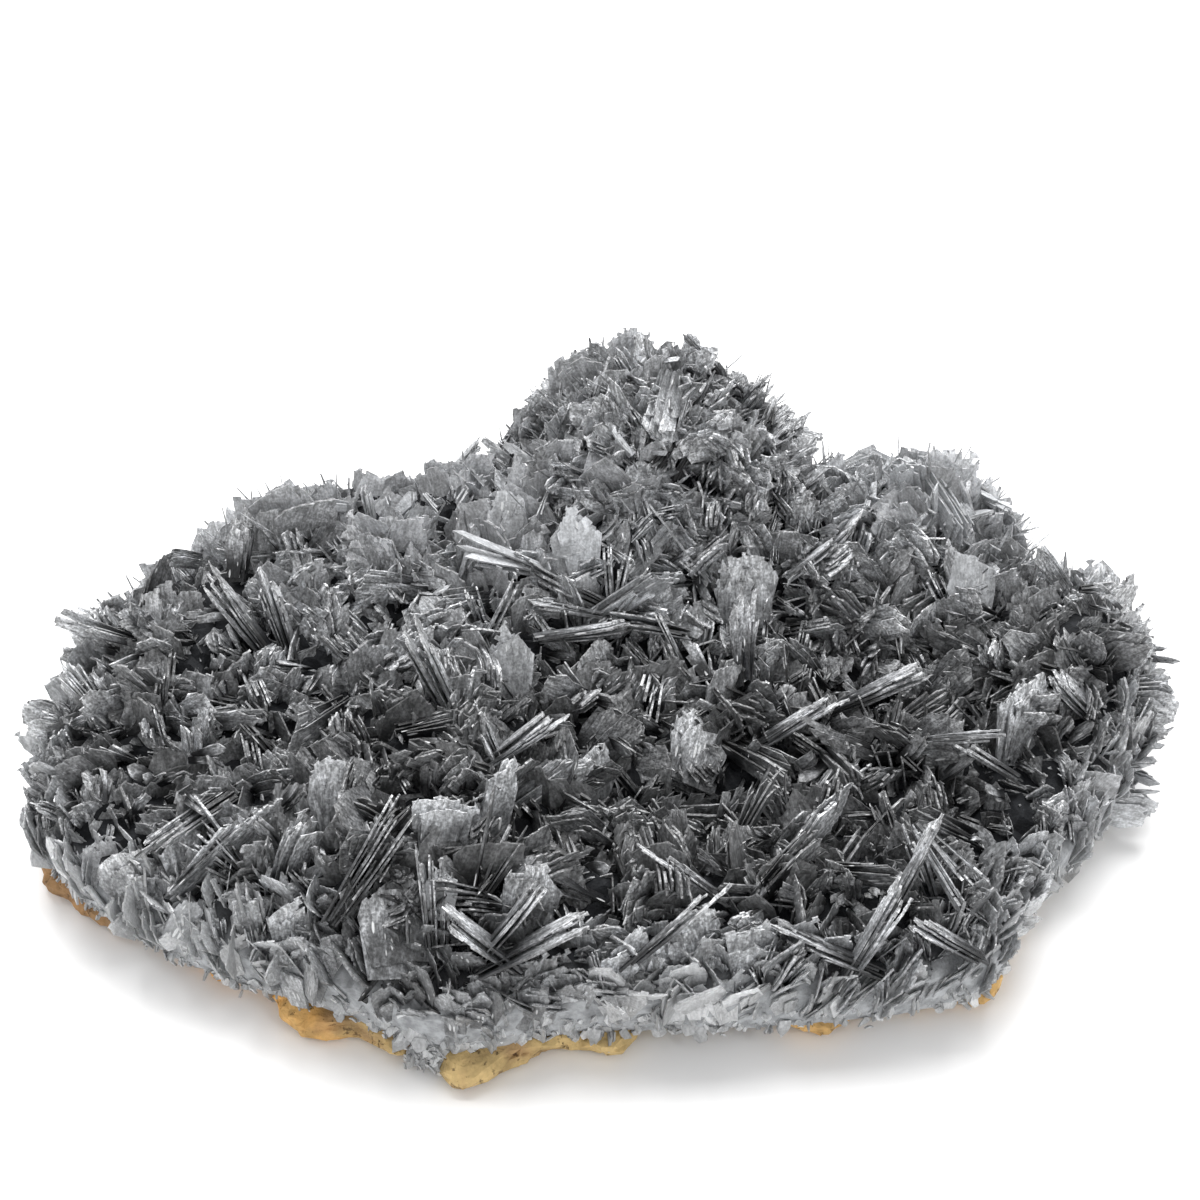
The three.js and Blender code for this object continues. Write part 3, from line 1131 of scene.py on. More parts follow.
@dataclass(frozen=True)
class OchreFinish:
    """Earthy limonite: orange where it is fresh, tan where it is weathered, with dark pits."""

    name: str = "ochre_limonite"
    tan: Colour = (0.55, 0.395, 0.175)
    orange: Colour = (0.78, 0.42, 0.125)
    brown: Colour = (0.25, 0.14, 0.07)
    grain_scale: float = 260.0
    fresh_to: Pair = (-0.047, -0.038)  # where along X orange gives way to tan
    stained_to: Pair = (-0.086, -0.07)  # where the brown stain of the left end fades out

    def build(self, mottle: NodeTree) -> Material:
        """Makes the material.

        Args:
            mottle: The group for its grain.

        Returns:
            The material.
        """
        material, s = Shade.of_new(self.name)
        where = s.node("ShaderNodeTexCoord").outputs["Object"]
        grain = s.mottled(mottle, where, where, self.grain_scale)
        patches = s.node("ShaderNodeTexNoise", Vector=where, Scale=38.0, Detail=4.0, Roughness=0.55)
        pits = s.node("ShaderNodeTexNoise", Vector=where, Scale=620.0, Detail=3.0, Roughness=0.65)
        pit = s.minus(1.0, s.ramp(pits.outputs[0], 0.31, 0.4))
        across = s.node("ShaderNodeSeparateXYZ", Vector=where).outputs[0]
        patch = s.minus(s.ramp(patches.outputs[0], 0.4, 0.6), 0.55)
        fresh = s.minus(1.0, s.ramp(across, *self.fresh_to))
        base = s.mix(s.plus(fresh, patch, clamp=True), self.tan, self.orange)
        stained = s.minus(0.8, s.times(s.ramp(across, *self.stained_to), 0.8))
        base = s.mix(stained, base, self.brown)
        base = s.mix(s.times(s.ramp(s.attribute("crease"), 0.55, 0.9), 0.7), base, self.brown)
        light = s.plus(0.78, s.times(grain.outputs["Cloud"], 0.44))
        deep = s.times(pit, s.minus(0.6, s.times(fresh, 0.4)))
        base = s.mix(deep, s.lit(base, light), self.brown)
        height = s.times(grain.outputs["Height"], 0.8)
        height = s.minus(height, s.times(pit, 0.9))
        bump = s.node("ShaderNodeBump", Height=height, Strength=0.9, Distance=0.0009)
        rough = s.minus(0.92, s.times(grain.outputs["Cloud"], 0.14))
        s.surface(Base_Color=base, Roughness=rough, Normal=bump.outputs[0])
        return material


# ------------ where the books stand


def tipped(normal: np.ndarray, way: np.ndarray, lean: np.ndarray) -> np.ndarray:
    """Directions that lean over from the crust's normals.

    Args:
        normal: The normals, one row each.
        way: The plan direction that each leans in, one row each.
        lean: How far each leans, in radians.

    Returns:
        The directions, one row each.
    """
    along = np.column_stack([way, np.zeros(len(way))])
    along = unit(along - normal * np.sum(along * normal, 1)[:, None])
    return normal * np.cos(lean)[:, None] + along * np.sin(lean)[:, None]


@dataclass
class Planter:
    """Chooses where books stand on the crust, in rosettes that spread from many small centres."""

    crust: Crust
    # patches of milkier crystals above 0; below 0, darker patches, most of them towards the front, as painted
    # shade
    pale: tuple[Swell, ...] = (
        Swell((-50, 26), 1.12, 28, 15, 10), Swell((76, 22), 1.0, 22, 16), Swell((-8, 6), 0.45, 18, 9),
        Swell((14, 42), 0.05, 34, 14), Swell((8, -44), -1.2, 38, 15), Swell((66, -18), -0.82, 30, 20),
        Swell((56, -48), -0.55, 22, 12), Swell((-34, -50), -0.4, 22, 14),
        Swell((-88, -18), -0.45, 18, 22), Swell((14, -77), 0.35, 16, 5),
        Swell((-66, -66), 0.5, 20, 6, -25), Swell((-26, -76), -1.3, 17, 9), Swell((48, -68), -0.7, 16, 6),
        Swell((84, -48), 0.6, 20, 7, 45),
    )
    frontal: tuple[Swell, ...] = (
        Swell((-52, 18), 1.0, 32, 19, 10), Swell((78, 14), 0.9, 20, 20), Swell((-8, 10), 0.5, 20, 12),
        Swell((14, 40), 0.12, 34, 14), Swell((0, -40), 0.2, 24, 14), Swell((-66, -56), 0.9, 28, 12, -28),
        Swell((12, -74), 0.6, 22, 8), Swell((84, -48), 0.5, 20, 7, 45),
    )
    vigour: tuple[Swell, ...] = (
        Swell((48, 34), -0.35, 7, 12), Swell((61, 38), 0.1, 6, 8), Swell((80, 29), 0.4, 8, 8),
        Swell((87, 10), -0.45, 7, 12), Swell((99, -3), 0.4, 5, 6), Swell((107, -16), -0.3, 5, 8),
        Swell((43, 44), -0.45, 6, 8), Swell((-91, -4), 0.1, 7, 7), Swell((-79, 1), -0.55, 6, 9),
        Swell((-68, 10), 0.15, 7, 8), Swell((-22, 50), -0.4, 12, 10), Swell((-6, 52), 0.35, 7, 8),
        Swell((26, 52), -0.35, 12, 9), Swell((-50, 24), -0.3, 10, 9), Swell((-36, 32), -0.25, 8, 9),
    )
    lush: tuple[Swell, ...] = (
        Swell((14, 27), 0.3, 26, 13), Swell((72, 20), 0.2, 20, 14), Swell((0, 56), 0.35, 40, 9),
    )
    seed: int = 11
    low: Pair = (-112.0, -90.0)  # corners of the plan that darts are thrown over
    high: Pair = (112.0, 72.0)
    rosette_gap: float = 16.5
    rosettes: np.ndarray = field(init=False, default=None)

    def __post_init__(self) -> None:
        """Places the centres of the rosettes."""
        rng = np.random.default_rng(self.seed)
        self.rosettes = self.darts(rng, self.rosette_gap, -4.0)

    def darts(self, rng: Generator, gap: float, edge: float, throws: int = 9000) -> np.ndarray:
        """Plan points spread at random but evenly over the crust's surface.

        Args:
            rng: Where they come from.
            gap: Least distance between two, measured along the surface.
            edge: Least distance in from the break line.
            throws: How many are tried.

        Returns:
            The points, one row each.
        """
        tries = rng.uniform(self.low, self.high, (throws, 2))
        tries = tries[self.crust.inside(*tries.T) > edge + 1.5 * self.crust.front(*tries.T)]
        steep = np.hypot(*self.crust.slope(*tries.T, 1.0))
        apart = gap / np.sqrt(np.sqrt(1 + np.minimum(steep, 2.0) ** 2))
        apart /= 1 + sum(patch.lift(*tries.T) for patch in self.lush)
        kept = np.zeros((0, 2))
        for point, least in zip(tries, apart):
            if not len(kept) or np.min(np.sum((kept - point) ** 2, 1)) > least * least:
                kept = np.vstack([kept, point])
        return kept

    def stand(
        self, points: np.ndarray, rng: Generator, sink: float, upright: float, spread: float,
        size: Pair, tilt: float = 45.0,
    ) -> Sites:
        """Sites for books rooted at plan points.

        Args:
            points: Where, one row each.
            rng: Where their irregularities come from.
            sink: How deep below the crust's surface they start, in mm.
            upright: How strongly they stand up rather than square to a slope.
            spread: How strongly they lean away from the middle of their rosette.
            size: Least and most of their size.
            tilt: Most that each leans any way at random, in degrees.

        Returns:
            The sites, with every book's kind left at 0.
        """
        x, y = points.T
        slope_x, slope_y = self.crust.slope(x, y)
        calm = self.calm(x, y)
        slope_x, slope_y = slope_x * calm, slope_y * calm
        apart = points[:, None, :] - self.rosettes[None, :, :]
        nearest = np.argmin(np.sum(apart**2, 2), 1)
        away = apart[np.arange(len(points)), nearest]
        far = np.hypot(*away.T)
        lean = spread * away / (self.rosette_gap * 0.5) * (0.35 + 0.65 * calm)[:, None]
        growth = unit(np.stack([lean[:, 0] - slope_x, lean[:, 1] - slope_y, np.full(len(x), upright)], 1))
        way = rng.uniform(0, 2 * math.pi, len(x))
        slip = np.tan(np.radians(rng.uniform(0.2 * tilt, tilt, len(x)))) * (0.4 + 0.6 * calm)
        growth[:, 0] += np.cos(way) * slip
        growth[:, 1] += np.sin(way) * slip
        growth = unit(growth)
        height = self.crust.height(x, y) - sink - 1.8 * (far / (self.rosette_gap * 0.5)) ** 2
        around = np.arctan2(away[:, 1], away[:, 0])
        loose = rng.uniform(0, 2 * math.pi, len(x))
        swirl = around + rng.normal(0, 0.45, len(x)) + np.where(rng.random(len(x)) < 0.5, math.pi / 2, 0)
        facing = np.where(rng.random(len(x)) < 0.5, loose, swirl)
        return self.grown(np.stack([x, y, height], 1), growth, facing, size, rng)

    def grown(
        self, place: np.ndarray, growth: np.ndarray, facing: np.ndarray, size: Pair,
        rng: Generator,
    ) -> Sites:
        """Sites whose books are as large and as milky as they grow at their places.

        Args:
            place: Where they stand, one row each.
            growth: The directions they grow in, one row each.
            facing: The directions their faces look in, in radians.
            size: Least and most of their size.
            rng: Where their irregularities come from.

        Returns:
            The sites, with every book's kind left at 0.
        """
        x, y = place[:, :2].T
        return Sites(
            place=place, growth=growth, facing=facing, size=rng.uniform(*size, len(x)) * self.strength(x, y),
            kind=np.zeros(len(x), int), milk=self.milk(x, y, rng),
        )

    def burst(
        self, rng: Generator, books: tuple[int, int], sink: float, size: Pair,
    ) -> Sites:
        """Sites for books that radiate from the middles of the rosettes.

        Args:
            rng: Where their irregularities come from.
            books: Fewest and most to a rosette.
            sink: How deep below the crust's surface they start, in mm.
            size: Least and most of their size.

        Returns:
            The sites, with every book's kind left at 0.
        """
        count = rng.integers(books[0], books[1] + 1, len(self.rosettes))
        which = np.repeat(np.arange(len(count)), count)
        order = np.arange(len(which)) - np.repeat(np.cumsum(count) - count, count)
        around = (order + rng.uniform(-0.35, 0.35, len(which))) * 2 * math.pi / count[which]
        around += rng.uniform(0, 2 * math.pi, len(count))[which]
        lean = np.radians(rng.uniform(12, 72, len(which)))
        way = np.stack([np.cos(around), np.sin(around)], 1)
        points = self.rosettes[which] + way * rng.uniform(0.3, 4.5, (len(which), 1))
        keep = self.crust.inside(*points.T) > 1.5 + 1.5 * self.crust.front(*points.T)
        points, way, around, lean = points[keep], way[keep], around[keep], lean[keep]
        x, y = points.T
        calm = self.calm(x, y)
        slope_x, slope_y = (part * calm for part in self.crust.slope(x, y, 3.0))
        normal = unit(np.stack([-slope_x, -slope_y, np.full(len(x), 1.15)], 1))
        growth = tipped(normal, way, lean * (0.35 + 0.65 * calm))
        edge_on = around + math.pi / 2 + rng.normal(0, 0.35, len(x))
        facing = np.where(rng.random(len(x)) < 0.6, edge_on, rng.uniform(0, 2 * math.pi, len(x)))
        place = np.stack([x, y, self.crust.height(x, y) - sink], 1)
        return self.grown(place, growth, facing, size, rng)

    def strew(self, rng: Generator, gap: float, raised: Pair) -> Sites:
        """Sites for long books that lie slantwise over the others.

        Args:
            rng: Where their irregularities come from.
            gap: Least distance between two, in mm.
            raised: Least and most that they start above the crust's surface, in mm.

        Returns:
            The sites, with every book's kind left at 0.
        """
        x, y = self.darts(rng, gap, 9.0).T
        slope_x, slope_y = self.crust.slope(x, y, 4.0)
        normal = unit(np.stack([-slope_x, -slope_y, np.full(len(x), 1.0)], 1))
        way = rng.uniform(0, 2 * math.pi, len(x))
        lean = np.radians(rng.uniform(52, 80, len(x)))
        growth = tipped(normal, np.stack([np.cos(way), np.sin(way)], 1), lean)
        place = np.stack([x, y, self.crust.height(x, y) + rng.uniform(*raised, len(x))], 1)
        return self.grown(place, growth, rng.uniform(0, 2 * math.pi, len(x)), (0.75, 1.1), rng)

    def show(self, landmarks: tuple[Landmark, ...]) -> Sites:
        """Sites for the landmarks, one book each.

        Args:
            landmarks: The landmarks.

        Returns:
            The sites, with their books in the same order.
        """
        x, y = np.array([mark.at for mark in landmarks], float).T
        height = self.crust.height(x, y) + [mark.raised for mark in landmarks]
        return Sites(
            place=np.stack([x, y, height], 1), growth=np.array([mark.growth() for mark in landmarks]),
            facing=-np.radians([mark.turn for mark in landmarks]), size=np.ones(len(x)),
            kind=np.arange(len(x)), milk=np.array([mark.milk for mark in landmarks]),
        )

    def calm(self, x: np.ndarray, y: np.ndarray) -> np.ndarray:
        """1 over most of the crust, falling to 0 at the broken front, where books stand upright."""
        return 1 - self.crust.front(x, y) * np.clip(1.3 - self.crust.inside(x, y) / 14, 0, 1)

    def strength(self, x: np.ndarray, y: np.ndarray) -> np.ndarray:
        """How large the books at plan points grow, as a share of their usual size."""
        grown = 1 + sum(patch.lift(x, y) for patch in self.vigour)
        return np.clip(grown, 0.55, 1.5) * (0.62 + 0.38 * self.calm(x, y))

    def part(self, sites: Sites, rng: Generator) -> tuple[Sites, Sites]:
        """Turns some of the sites into sites of upright plates with their faces to the front.

        Args:
            sites: All the sites.
            rng: Where the choice comes from.

        Returns:
            The sites of those plates, and the sites that are left.
        """
        share = np.clip(sum(patch.lift(*sites.place[:, :2].T) for patch in self.frontal), 0, 0.93)
        flat = rng.random(len(share)) < share
        plates, rest = sites.only(flat), sites.only(~flat)
        count = len(plates.size)
        lean = (rng.normal(0, 0.45, count), rng.uniform(-0.1, 0.8, count))
        plates.growth = unit(np.stack([*lean, np.ones(count)], 1))
        plates.facing = rng.normal(-math.pi / 2, 0.45, count)
        return plates, rest

    def milk(self, x: np.ndarray, y: np.ndarray, rng: Generator) -> np.ndarray:
        """How milky the crystals are: most along the broken front edge.

        Args:
            x: Where they stand along X.
            y: Where they stand along Y.
            rng: Where their differences come from.

        Returns:
            Their milkiness, below 0 where they are darker than most, partly at random and partly as painted
            shade.
        """
        inside = self.crust.inside(x, y)
        front = self.crust.front(x, y)
        edge = np.clip(1 - inside / 12, 0, 1) ** 1.3
        cloud = np.array([
            noise.noise(Vector((a * 0.035, b * 0.035, 3.0)))
            + 0.6 * noise.noise(Vector((a * 0.1, b * 0.1, 7.0)))
            for a, b in zip(x, y)
        ])
        milk = 0.16 + edge * (0.35 + 0.35 * front) + 0.4 * cloud + rng.normal(0, 0.2, len(x))
        return np.clip(milk + self.tint(x, y), -0.55, 1)

    def tint(self, x: np.ndarray, y: np.ndarray) -> np.ndarray:
        """How much milkier than the rest the crystals at plan points are; below 0, how much darker they are
        made as painted shade.
        """
        return sum(patch.lift(x, y) for patch in self.pale)

    def lip(self, rng: Generator, turns: Pair, count: int) -> Sites:
        """Sites for upright plates along the lip of the broken side, with their faces outwards.

        Args:
            rng: Where their irregularities come from.
            turns: The stretch of the break line they stand along, as directions from its heart.
            count: How many there are.

        Returns:
            The sites, with every book's kind left at 0.
        """
        turn = rng.uniform(*turns, count)
        deep = 0.6 + 9.4 * rng.uniform(0, 1, count) ** 1.6
        x, y = self.crust.at_turn(turn, deep)
        outwards = turn + rng.normal(0, 0.3, count)
        lean = rng.uniform(-0.25, 0.55, count)
        return Sites(
            place=np.stack([x, y, self.crust.height(x, y) - rng.uniform(1.0, 3.5, count)], 1),
            growth=slanting(outwards, lean, 1.0), facing=turn + rng.normal(0, 0.5, count),
            size=rng.uniform(0.5, 0.85, count), kind=np.zeros(count, int),
            milk=np.clip(rng.normal(0.8, 0.12, count) - deep * 0.05 + self.tint(x, y), -0.5, 1),
        )

    def skirt(self, rng: Generator, turns: Pair, count: int) -> Sites:
        """Sites for books that grow outwards from the flank.

        Args:
            rng: Where their irregularities come from.
            turns: The stretch of the break line they stand along, as directions from its heart.
            count: How many there are.

        Returns:
            The sites, with every book's kind left at 0.
        """
        turn = rng.uniform(*turns, count)
        deep = rng.uniform(0.5, 3.0, count)
        x, y = self.crust.at_turn(turn, deep)
        height = rng.uniform(4.0, 17.0, count)
        outwards = turn + rng.normal(0, 0.35, count)
        growth = slanting(outwards, 1.0, rng.uniform(0.1, 1.1, count))
        facing = rng.uniform(0, 2 * math.pi, count)
        return self.grown(np.stack([x, y, height], 1), growth, facing, (0.6, 0.95), rng)


# ------------ sub-assemblies


@dataclass
class CrustBody:
    """The knobbly crust under the blades, with its broken side."""

    crust: Crust
    around: int = 270
    rings: int = 48
    sink: float = 0.6
    roughness: float = 1.2
    crags: float = 2.6
    margin: float = 0.6  # how far inside the break line the crust itself ends
    innermost: float = 0.965  # the last ring's way in to the heart

    def build(self, finish: Material) -> Object:
        """Makes the crust as one closed mesh.

        Args:
            finish: What it is made of.

        Returns:
            The crust.
        """
        turns = np.linspace(0, 2 * math.pi, self.around, endpoint=False)
        loops, depth = [], []
        for height, inset in self.crust.side:
            x, y = self.crust.at_turn(turns, np.full(self.around, inset + self.margin))
            loops.append(np.stack([x, y, np.full(self.around, height)], 1))
            depth.append(np.zeros(self.around))
        for share in np.linspace(0.0, self.innermost, self.rings) ** 0.8:
            inset = np.maximum(self.crust.reach(turns) * share, self.margin)
            x, y = self.crust.at_turn(turns, inset)
            fade = min(1.0, share * 8)
            loops.append(np.stack([x, y, self.crust.height(x, y) - self.sink * fade], 1))
            depth.append(inset)
        loops, depth = np.array(loops), np.array(depth)
        flat = loops.reshape(-1, 3)
        inner = np.clip(depth.ravel() / 6, 0.15, 1)
        for p, share in zip(flat, inner):
            rough = self.roughness * (noise.noise(Vector(p * 0.55)) + 0.6 * noise.noise(Vector(p * 1.3)))
            crag = self.crags * (0.5 - noise.voronoi(Vector((p[0] * 0.34, p[1] * 0.34, 0.0)))[0][0])
            p[2] = max(self.crust.side[0][0], p[2] + rough + crag * share)
        heart = self.crust.heart
        middle = self.crust.height(np.array([heart[0]]), np.array([heart[1]]))[0] - self.sink
        ends = np.array([(*heart, self.crust.side[0][0]), (*heart, middle)])
        points = to_frame(np.vstack([flat, ends]))
        faces, uv = self.weave(len(loops))
        mesh = bpy.data.meshes.new("barite_crust")
        mesh.from_pydata(points.tolist(), [], faces)
        count = len(points)
        inward = np.append(depth.ravel(), (30.0, 30.0))
        store(mesh, "tone", "FLOAT", "POINT", [noise.noise(Vector(p * 300)) for p in points])
        store(mesh, "tip", "FLOAT", "POINT", np.full(count, 0.3))
        front = self.crust.front(*to_plan(points)[:, :2].T)
        store(mesh, "milk", "FLOAT", "POINT", np.clip(0.9 - inward / 5, 0, 1) * (0.3 + 0.7 * front))
        store(mesh, "rim", "FLOAT", "FACE", np.zeros(len(faces)))
        map_skin(mesh, np.array(uv))
        mesh.materials.append(finish)
        return new_object("barite_crust", mesh)

    def weave(self, loops: int) -> tuple[list[list[int]], list[Pair]]:
        """Weaves a closed skin over loops of points and its two ends.

        Args:
            loops: How many loops there are, from the foot up and in.

        Returns:
            Its faces, and the UV place of each of their corners.
        """
        faces, uv = [], []
        n, foot, crown = self.around, loops * self.around, loops * self.around + 1
        for i in range(n):
            j, left, right = (i + 1) % n, i / n, (i + 1) / n
            faces.append([foot, j, i])
            uv += [(left, 0.0), (right, 0.02), (left, 0.02)]
            faces.append([crown, (loops - 1) * n + i, (loops - 1) * n + j])
            uv += [(left, 1.0), (left, 0.98), (right, 0.98)]
            for k in range(loops - 1):
                low, high = 0.02 + 0.96 * k / (loops - 1), 0.02 + 0.96 * (k + 1) / (loops - 1)
                faces.append([k * n + i, k * n + j, (k + 1) * n + j, (k + 1) * n + i])
                uv += [(left, low), (right, low), (right, high), (left, high)]
        return faces, uv


LANDMARKS = (
    # the fan in the middle, with a pale plate behind it
    Landmark(BAR, (2, -4), 152, 20, 6, 6, raised=2, milk=-0.3),
    Landmark(BAR, (2, -4), 96, 13, 4, 4, milk=0.45),
    Landmark(BAR, (3, -4), 76, 13, 4, 4, milk=0.4),
    Landmark(BAR, (4, -5), 55, 13, 5, 4, milk=0.35),
    Landmark(RHOMB, (4, -5), 28, 14, 8, 4, 55, milk=0.6),
    Landmark(RHOMB, (-4, 5), 92, 12, 9, 4, 88, raised=1.5, milk=0.95),
    Landmark(PLATE, (-18, 11), 85, 10, 9, 4, 85, raised=1.5, milk=0.8),
    # bars around the fan
    Landmark(LATH, (-22, -12), 61, 18, 3, 4, milk=0.3),
    Landmark(BAR, (-5, -9), 171, 11, 4, 4, raised=5, milk=0.2),
    Landmark(BAR, (-6, -13), 8, 15, 5, 5, raised=5, milk=0.25),
    Landmark(BAR, (15, -14), 114, 12, 4, 4),
    Landmark(BAR, (-27, -30), 115, 16, 6, 7, milk=0.2),
    Landmark(BAR, (29, 0), 92, 11, 13, 4, 80, raised=1.5, milk=0.5, terrace=0.2),
    Landmark(RHOMB, (-16, -23), 90, 13, 8, 4, 75, milk=0.6),
    Landmark(BAR, (32, 7), 113, 13, 7, 5, 45),
    Landmark(BAR, (40, 6), 38, 11, 5, 4, raised=4, milk=0.5),
    # the star and the flowers in front of it
    Landmark(BAR, (-17, -41), 112, 12, 4, 6),
    Landmark(BAR, (-17, -41), 33, 15, 5, 6, milk=0.2),
    Landmark(BAR, (-18, -54), 80, 12, 6, 5, 60, milk=0.3),
    Landmark(RHOMB, (-1, -41), 82, 13, 11, 8, 66, raised=2, milk=0.4, fan=1.5, terrace=0.6),
    Landmark(RHOMB, (-10, -46), 35, 14, 9, 7, 75, 35, raised=2, milk=0.35, terrace=0.6),
    Landmark(PLATE, (18, -33), 80, 12, 13, 10, 84, 25, raised=2, milk=0.35, fan=2.5, terrace=0.9),
    Landmark(RHOMB, (40, -41), 45, 15, 9, 9, 60, 35, raised=2, milk=0.3, fan=1.5, terrace=0.7),
    Landmark(RHOMB, (36, -52), 50, 12, 8, 8, 65, 35, raised=2, milk=0.3, fan=1.5, terrace=0.7),
    # the long chain of bars that runs up to the right
    Landmark(BAR, (35, -29), 32, 15, 5, 6, raised=4),
    Landmark(LATH, (47, -20), 29, 20, 4, 6, raised=5, milk=-0.1, terrace=0.15),
    Landmark(LATH, (63, -34), 3, 11, 2, 3, raised=6, milk=0.4),
    Landmark(BAR, (71, -39), 150, 11, 4, 4, raised=4),
    Landmark(RHOMB, (76, -31), 80, 14, 12, 5, 70, milk=0.3, terrace=0.5),
    Landmark(BAR, (73, -3), 88, 13, 11, 4, 82, raised=1.5, milk=0.85),
    # the sheaf of laths at the right front, with its spray of needles
    Landmark(LATH, (40, -76), 62, 21, 3, 4, raised=5, milk=0.2),
    Landmark(BAR, (48, -66), 65, 17, 4, 5, raised=5, milk=0.15),
    Landmark(LATH, (54, -61), 110, 10, 3, 4, milk=0.2),
    Landmark(SPLINTER, (54, -61), -66, 13, 1, 6, rise=20, raised=6, milk=0.5, fan=6.0),
    Landmark(BAR, (40, -75), 156, 15, 4, 5, raised=4, milk=0.0),
    Landmark(BAR, (57, -73), 149, 11, 4, 5, raised=5),
    Landmark(LATH, (16, -66), 144, 13, 2, 4, raised=4, milk=0.15),
    Landmark(LATH, (9, -75), 43, 18, 2, 3, raised=6, milk=0.05),
    # the front corner
    Landmark(BAR, (-15, -75), 51, 12, 4, 4, raised=5),
    Landmark(BAR, (-14, -77), 27, 16, 4, 5, raised=5, milk=0.05),
    Landmark(LATH, (-27, -72), 93, 17, 3, 8, raised=2, milk=0.3, fan=1.5),
    Landmark(BAR, (-16, -76), 138, 12, 5, 5, raised=4),
    Landmark(RHOMB, (-25, -70), 90, 7, 7, 3, 85, raised=5, milk=0.8),
    Landmark(PLATE, (-12, -70), 80, 9, 9, 4, 75, raised=4, milk=0.2),
    Landmark(PLATE, (-32, -75), 95, 11, 12, 9, 78, 30, raised=2, milk=0.25, fan=2.5, terrace=0.8),
    Landmark(BAR, (-25, -58), 75, 6, 11, 4, 80, raised=5, milk=0.5),
    # the left front and the left end
    Landmark(BAR, (-41, -67), 60, 22, 6, 8),
    Landmark(BAR, (-66, -62), 48, 20, 6, 4, 35, raised=4, milk=0.3),
    Landmark(BAR, (-51, -61), 75, 11, 7, 6, 50, raised=2, milk=0.0),
    Landmark(PLATE, (-69, -66), 60, 8, 8, 3, 85, raised=2, milk=0.8),
    Landmark(RHOMB, (-70, -58), 100, 10, 7, 5, 60, raised=2, milk=0.3),
    Landmark(RHOMB, (-61, -58), 125, 12, 9, 8, -30, 50, raised=2.5, fan=2.5, terrace=0.8),
    Landmark(BAR, (-63, -14), 124, 20, 5, 6, raised=4, milk=0.0),
    Landmark(BAR, (-60, -12), 108, 15, 5, 5, milk=0.05),
    Landmark(BAR, (-44, -53), 95, 10, 6, 6, 60, milk=0.45),
    # the hump, whose first three bars are darkened a little as painted shade on faces that catch the light
    Landmark(BAR, (13, 21), 55, 12, 5, 6, raised=1.5, milk=-0.1),
    Landmark(BAR, (17, 20), 58, 12, 5, 5, raised=1.5, milk=-0.1),
    Landmark(LATH, (20, 17), 65, 13, 3, 3, raised=2.5, milk=-0.1),
    Landmark(BAR, (0, 32), 71, 12, 4, 5, raised=4, milk=0.2),
    Landmark(PLATE, (3, 24), 90, 8, 7, 4, 85, raised=2, milk=0.4),
    Landmark(PLATE, (9, 15), 88, 10, 11, 6, 75, raised=2, milk=0.4, fan=1.5, terrace=0.7),
    # the fans that stick out at the right end
    Landmark(BAR, (101, -20), 4, 9, 7, 8, 35, 40, raised=-1, milk=0.3, fan=1.6),
    Landmark(PLATE, (101, -22), -6, 9, 9, 5, 70, 40, raised=-2, milk=0.4),
    Landmark(BAR, (-101, -22), 168, 10, 7, 7, 35, 40, raised=0, milk=0.2, fan=1.6),
    Landmark(PLATE, (-100, -27), 176, 9, 9, 5, 70, 40, raised=0, milk=0.3),
    Landmark(PLATE, (98, -33), -8, 9, 9, 4, 75, 30, raised=-1, milk=0.7),
    # the broad pale plates over the front edge
    Landmark(RHOMB, (3, -77), 75, 10, 9, 3, 80, 70, raised=1, milk=0.45),
    Landmark(PLATE, (14, -74), 105, 9, 9, 3, 70, 65, raised=1, milk=0.35),
    Landmark(RHOMB, (24, -75), 85, 9, 9, 3, 85, 75, raised=0.5, milk=0.4),
    Landmark(PLATE, (-57, -68), 95, 8, 8, 3, 88, 75, raised=0.5, milk=0.4),
    Landmark(RHOMB, (-49, -71), 80, 9, 7, 3, 80, 75, raised=0.5, milk=0.45),
    Landmark(PLATE, (-78, -60), 100, 8, 9, 3, 85, 70, raised=2, milk=0.4),
)

VEILS = (
    # the smooth hazy dome behind the hump's left shoulder
    Landmark(PLATE, (-6, 41), 98, 12, 10, 3, 86, 75, raised=0, milk=0.6),
    Landmark(PLATE, (-3, 43), 97, 16, 14, 3, 88, 75, raised=0, milk=0.6),
    Landmark(RHOMB, (2, 45), 92, 16, 14, 3, 88, 75, raised=0, milk=0.6),
    Landmark(PLATE, (7, 44), 84, 13, 12, 3, 86, 75, raised=0, milk=0.7),
)


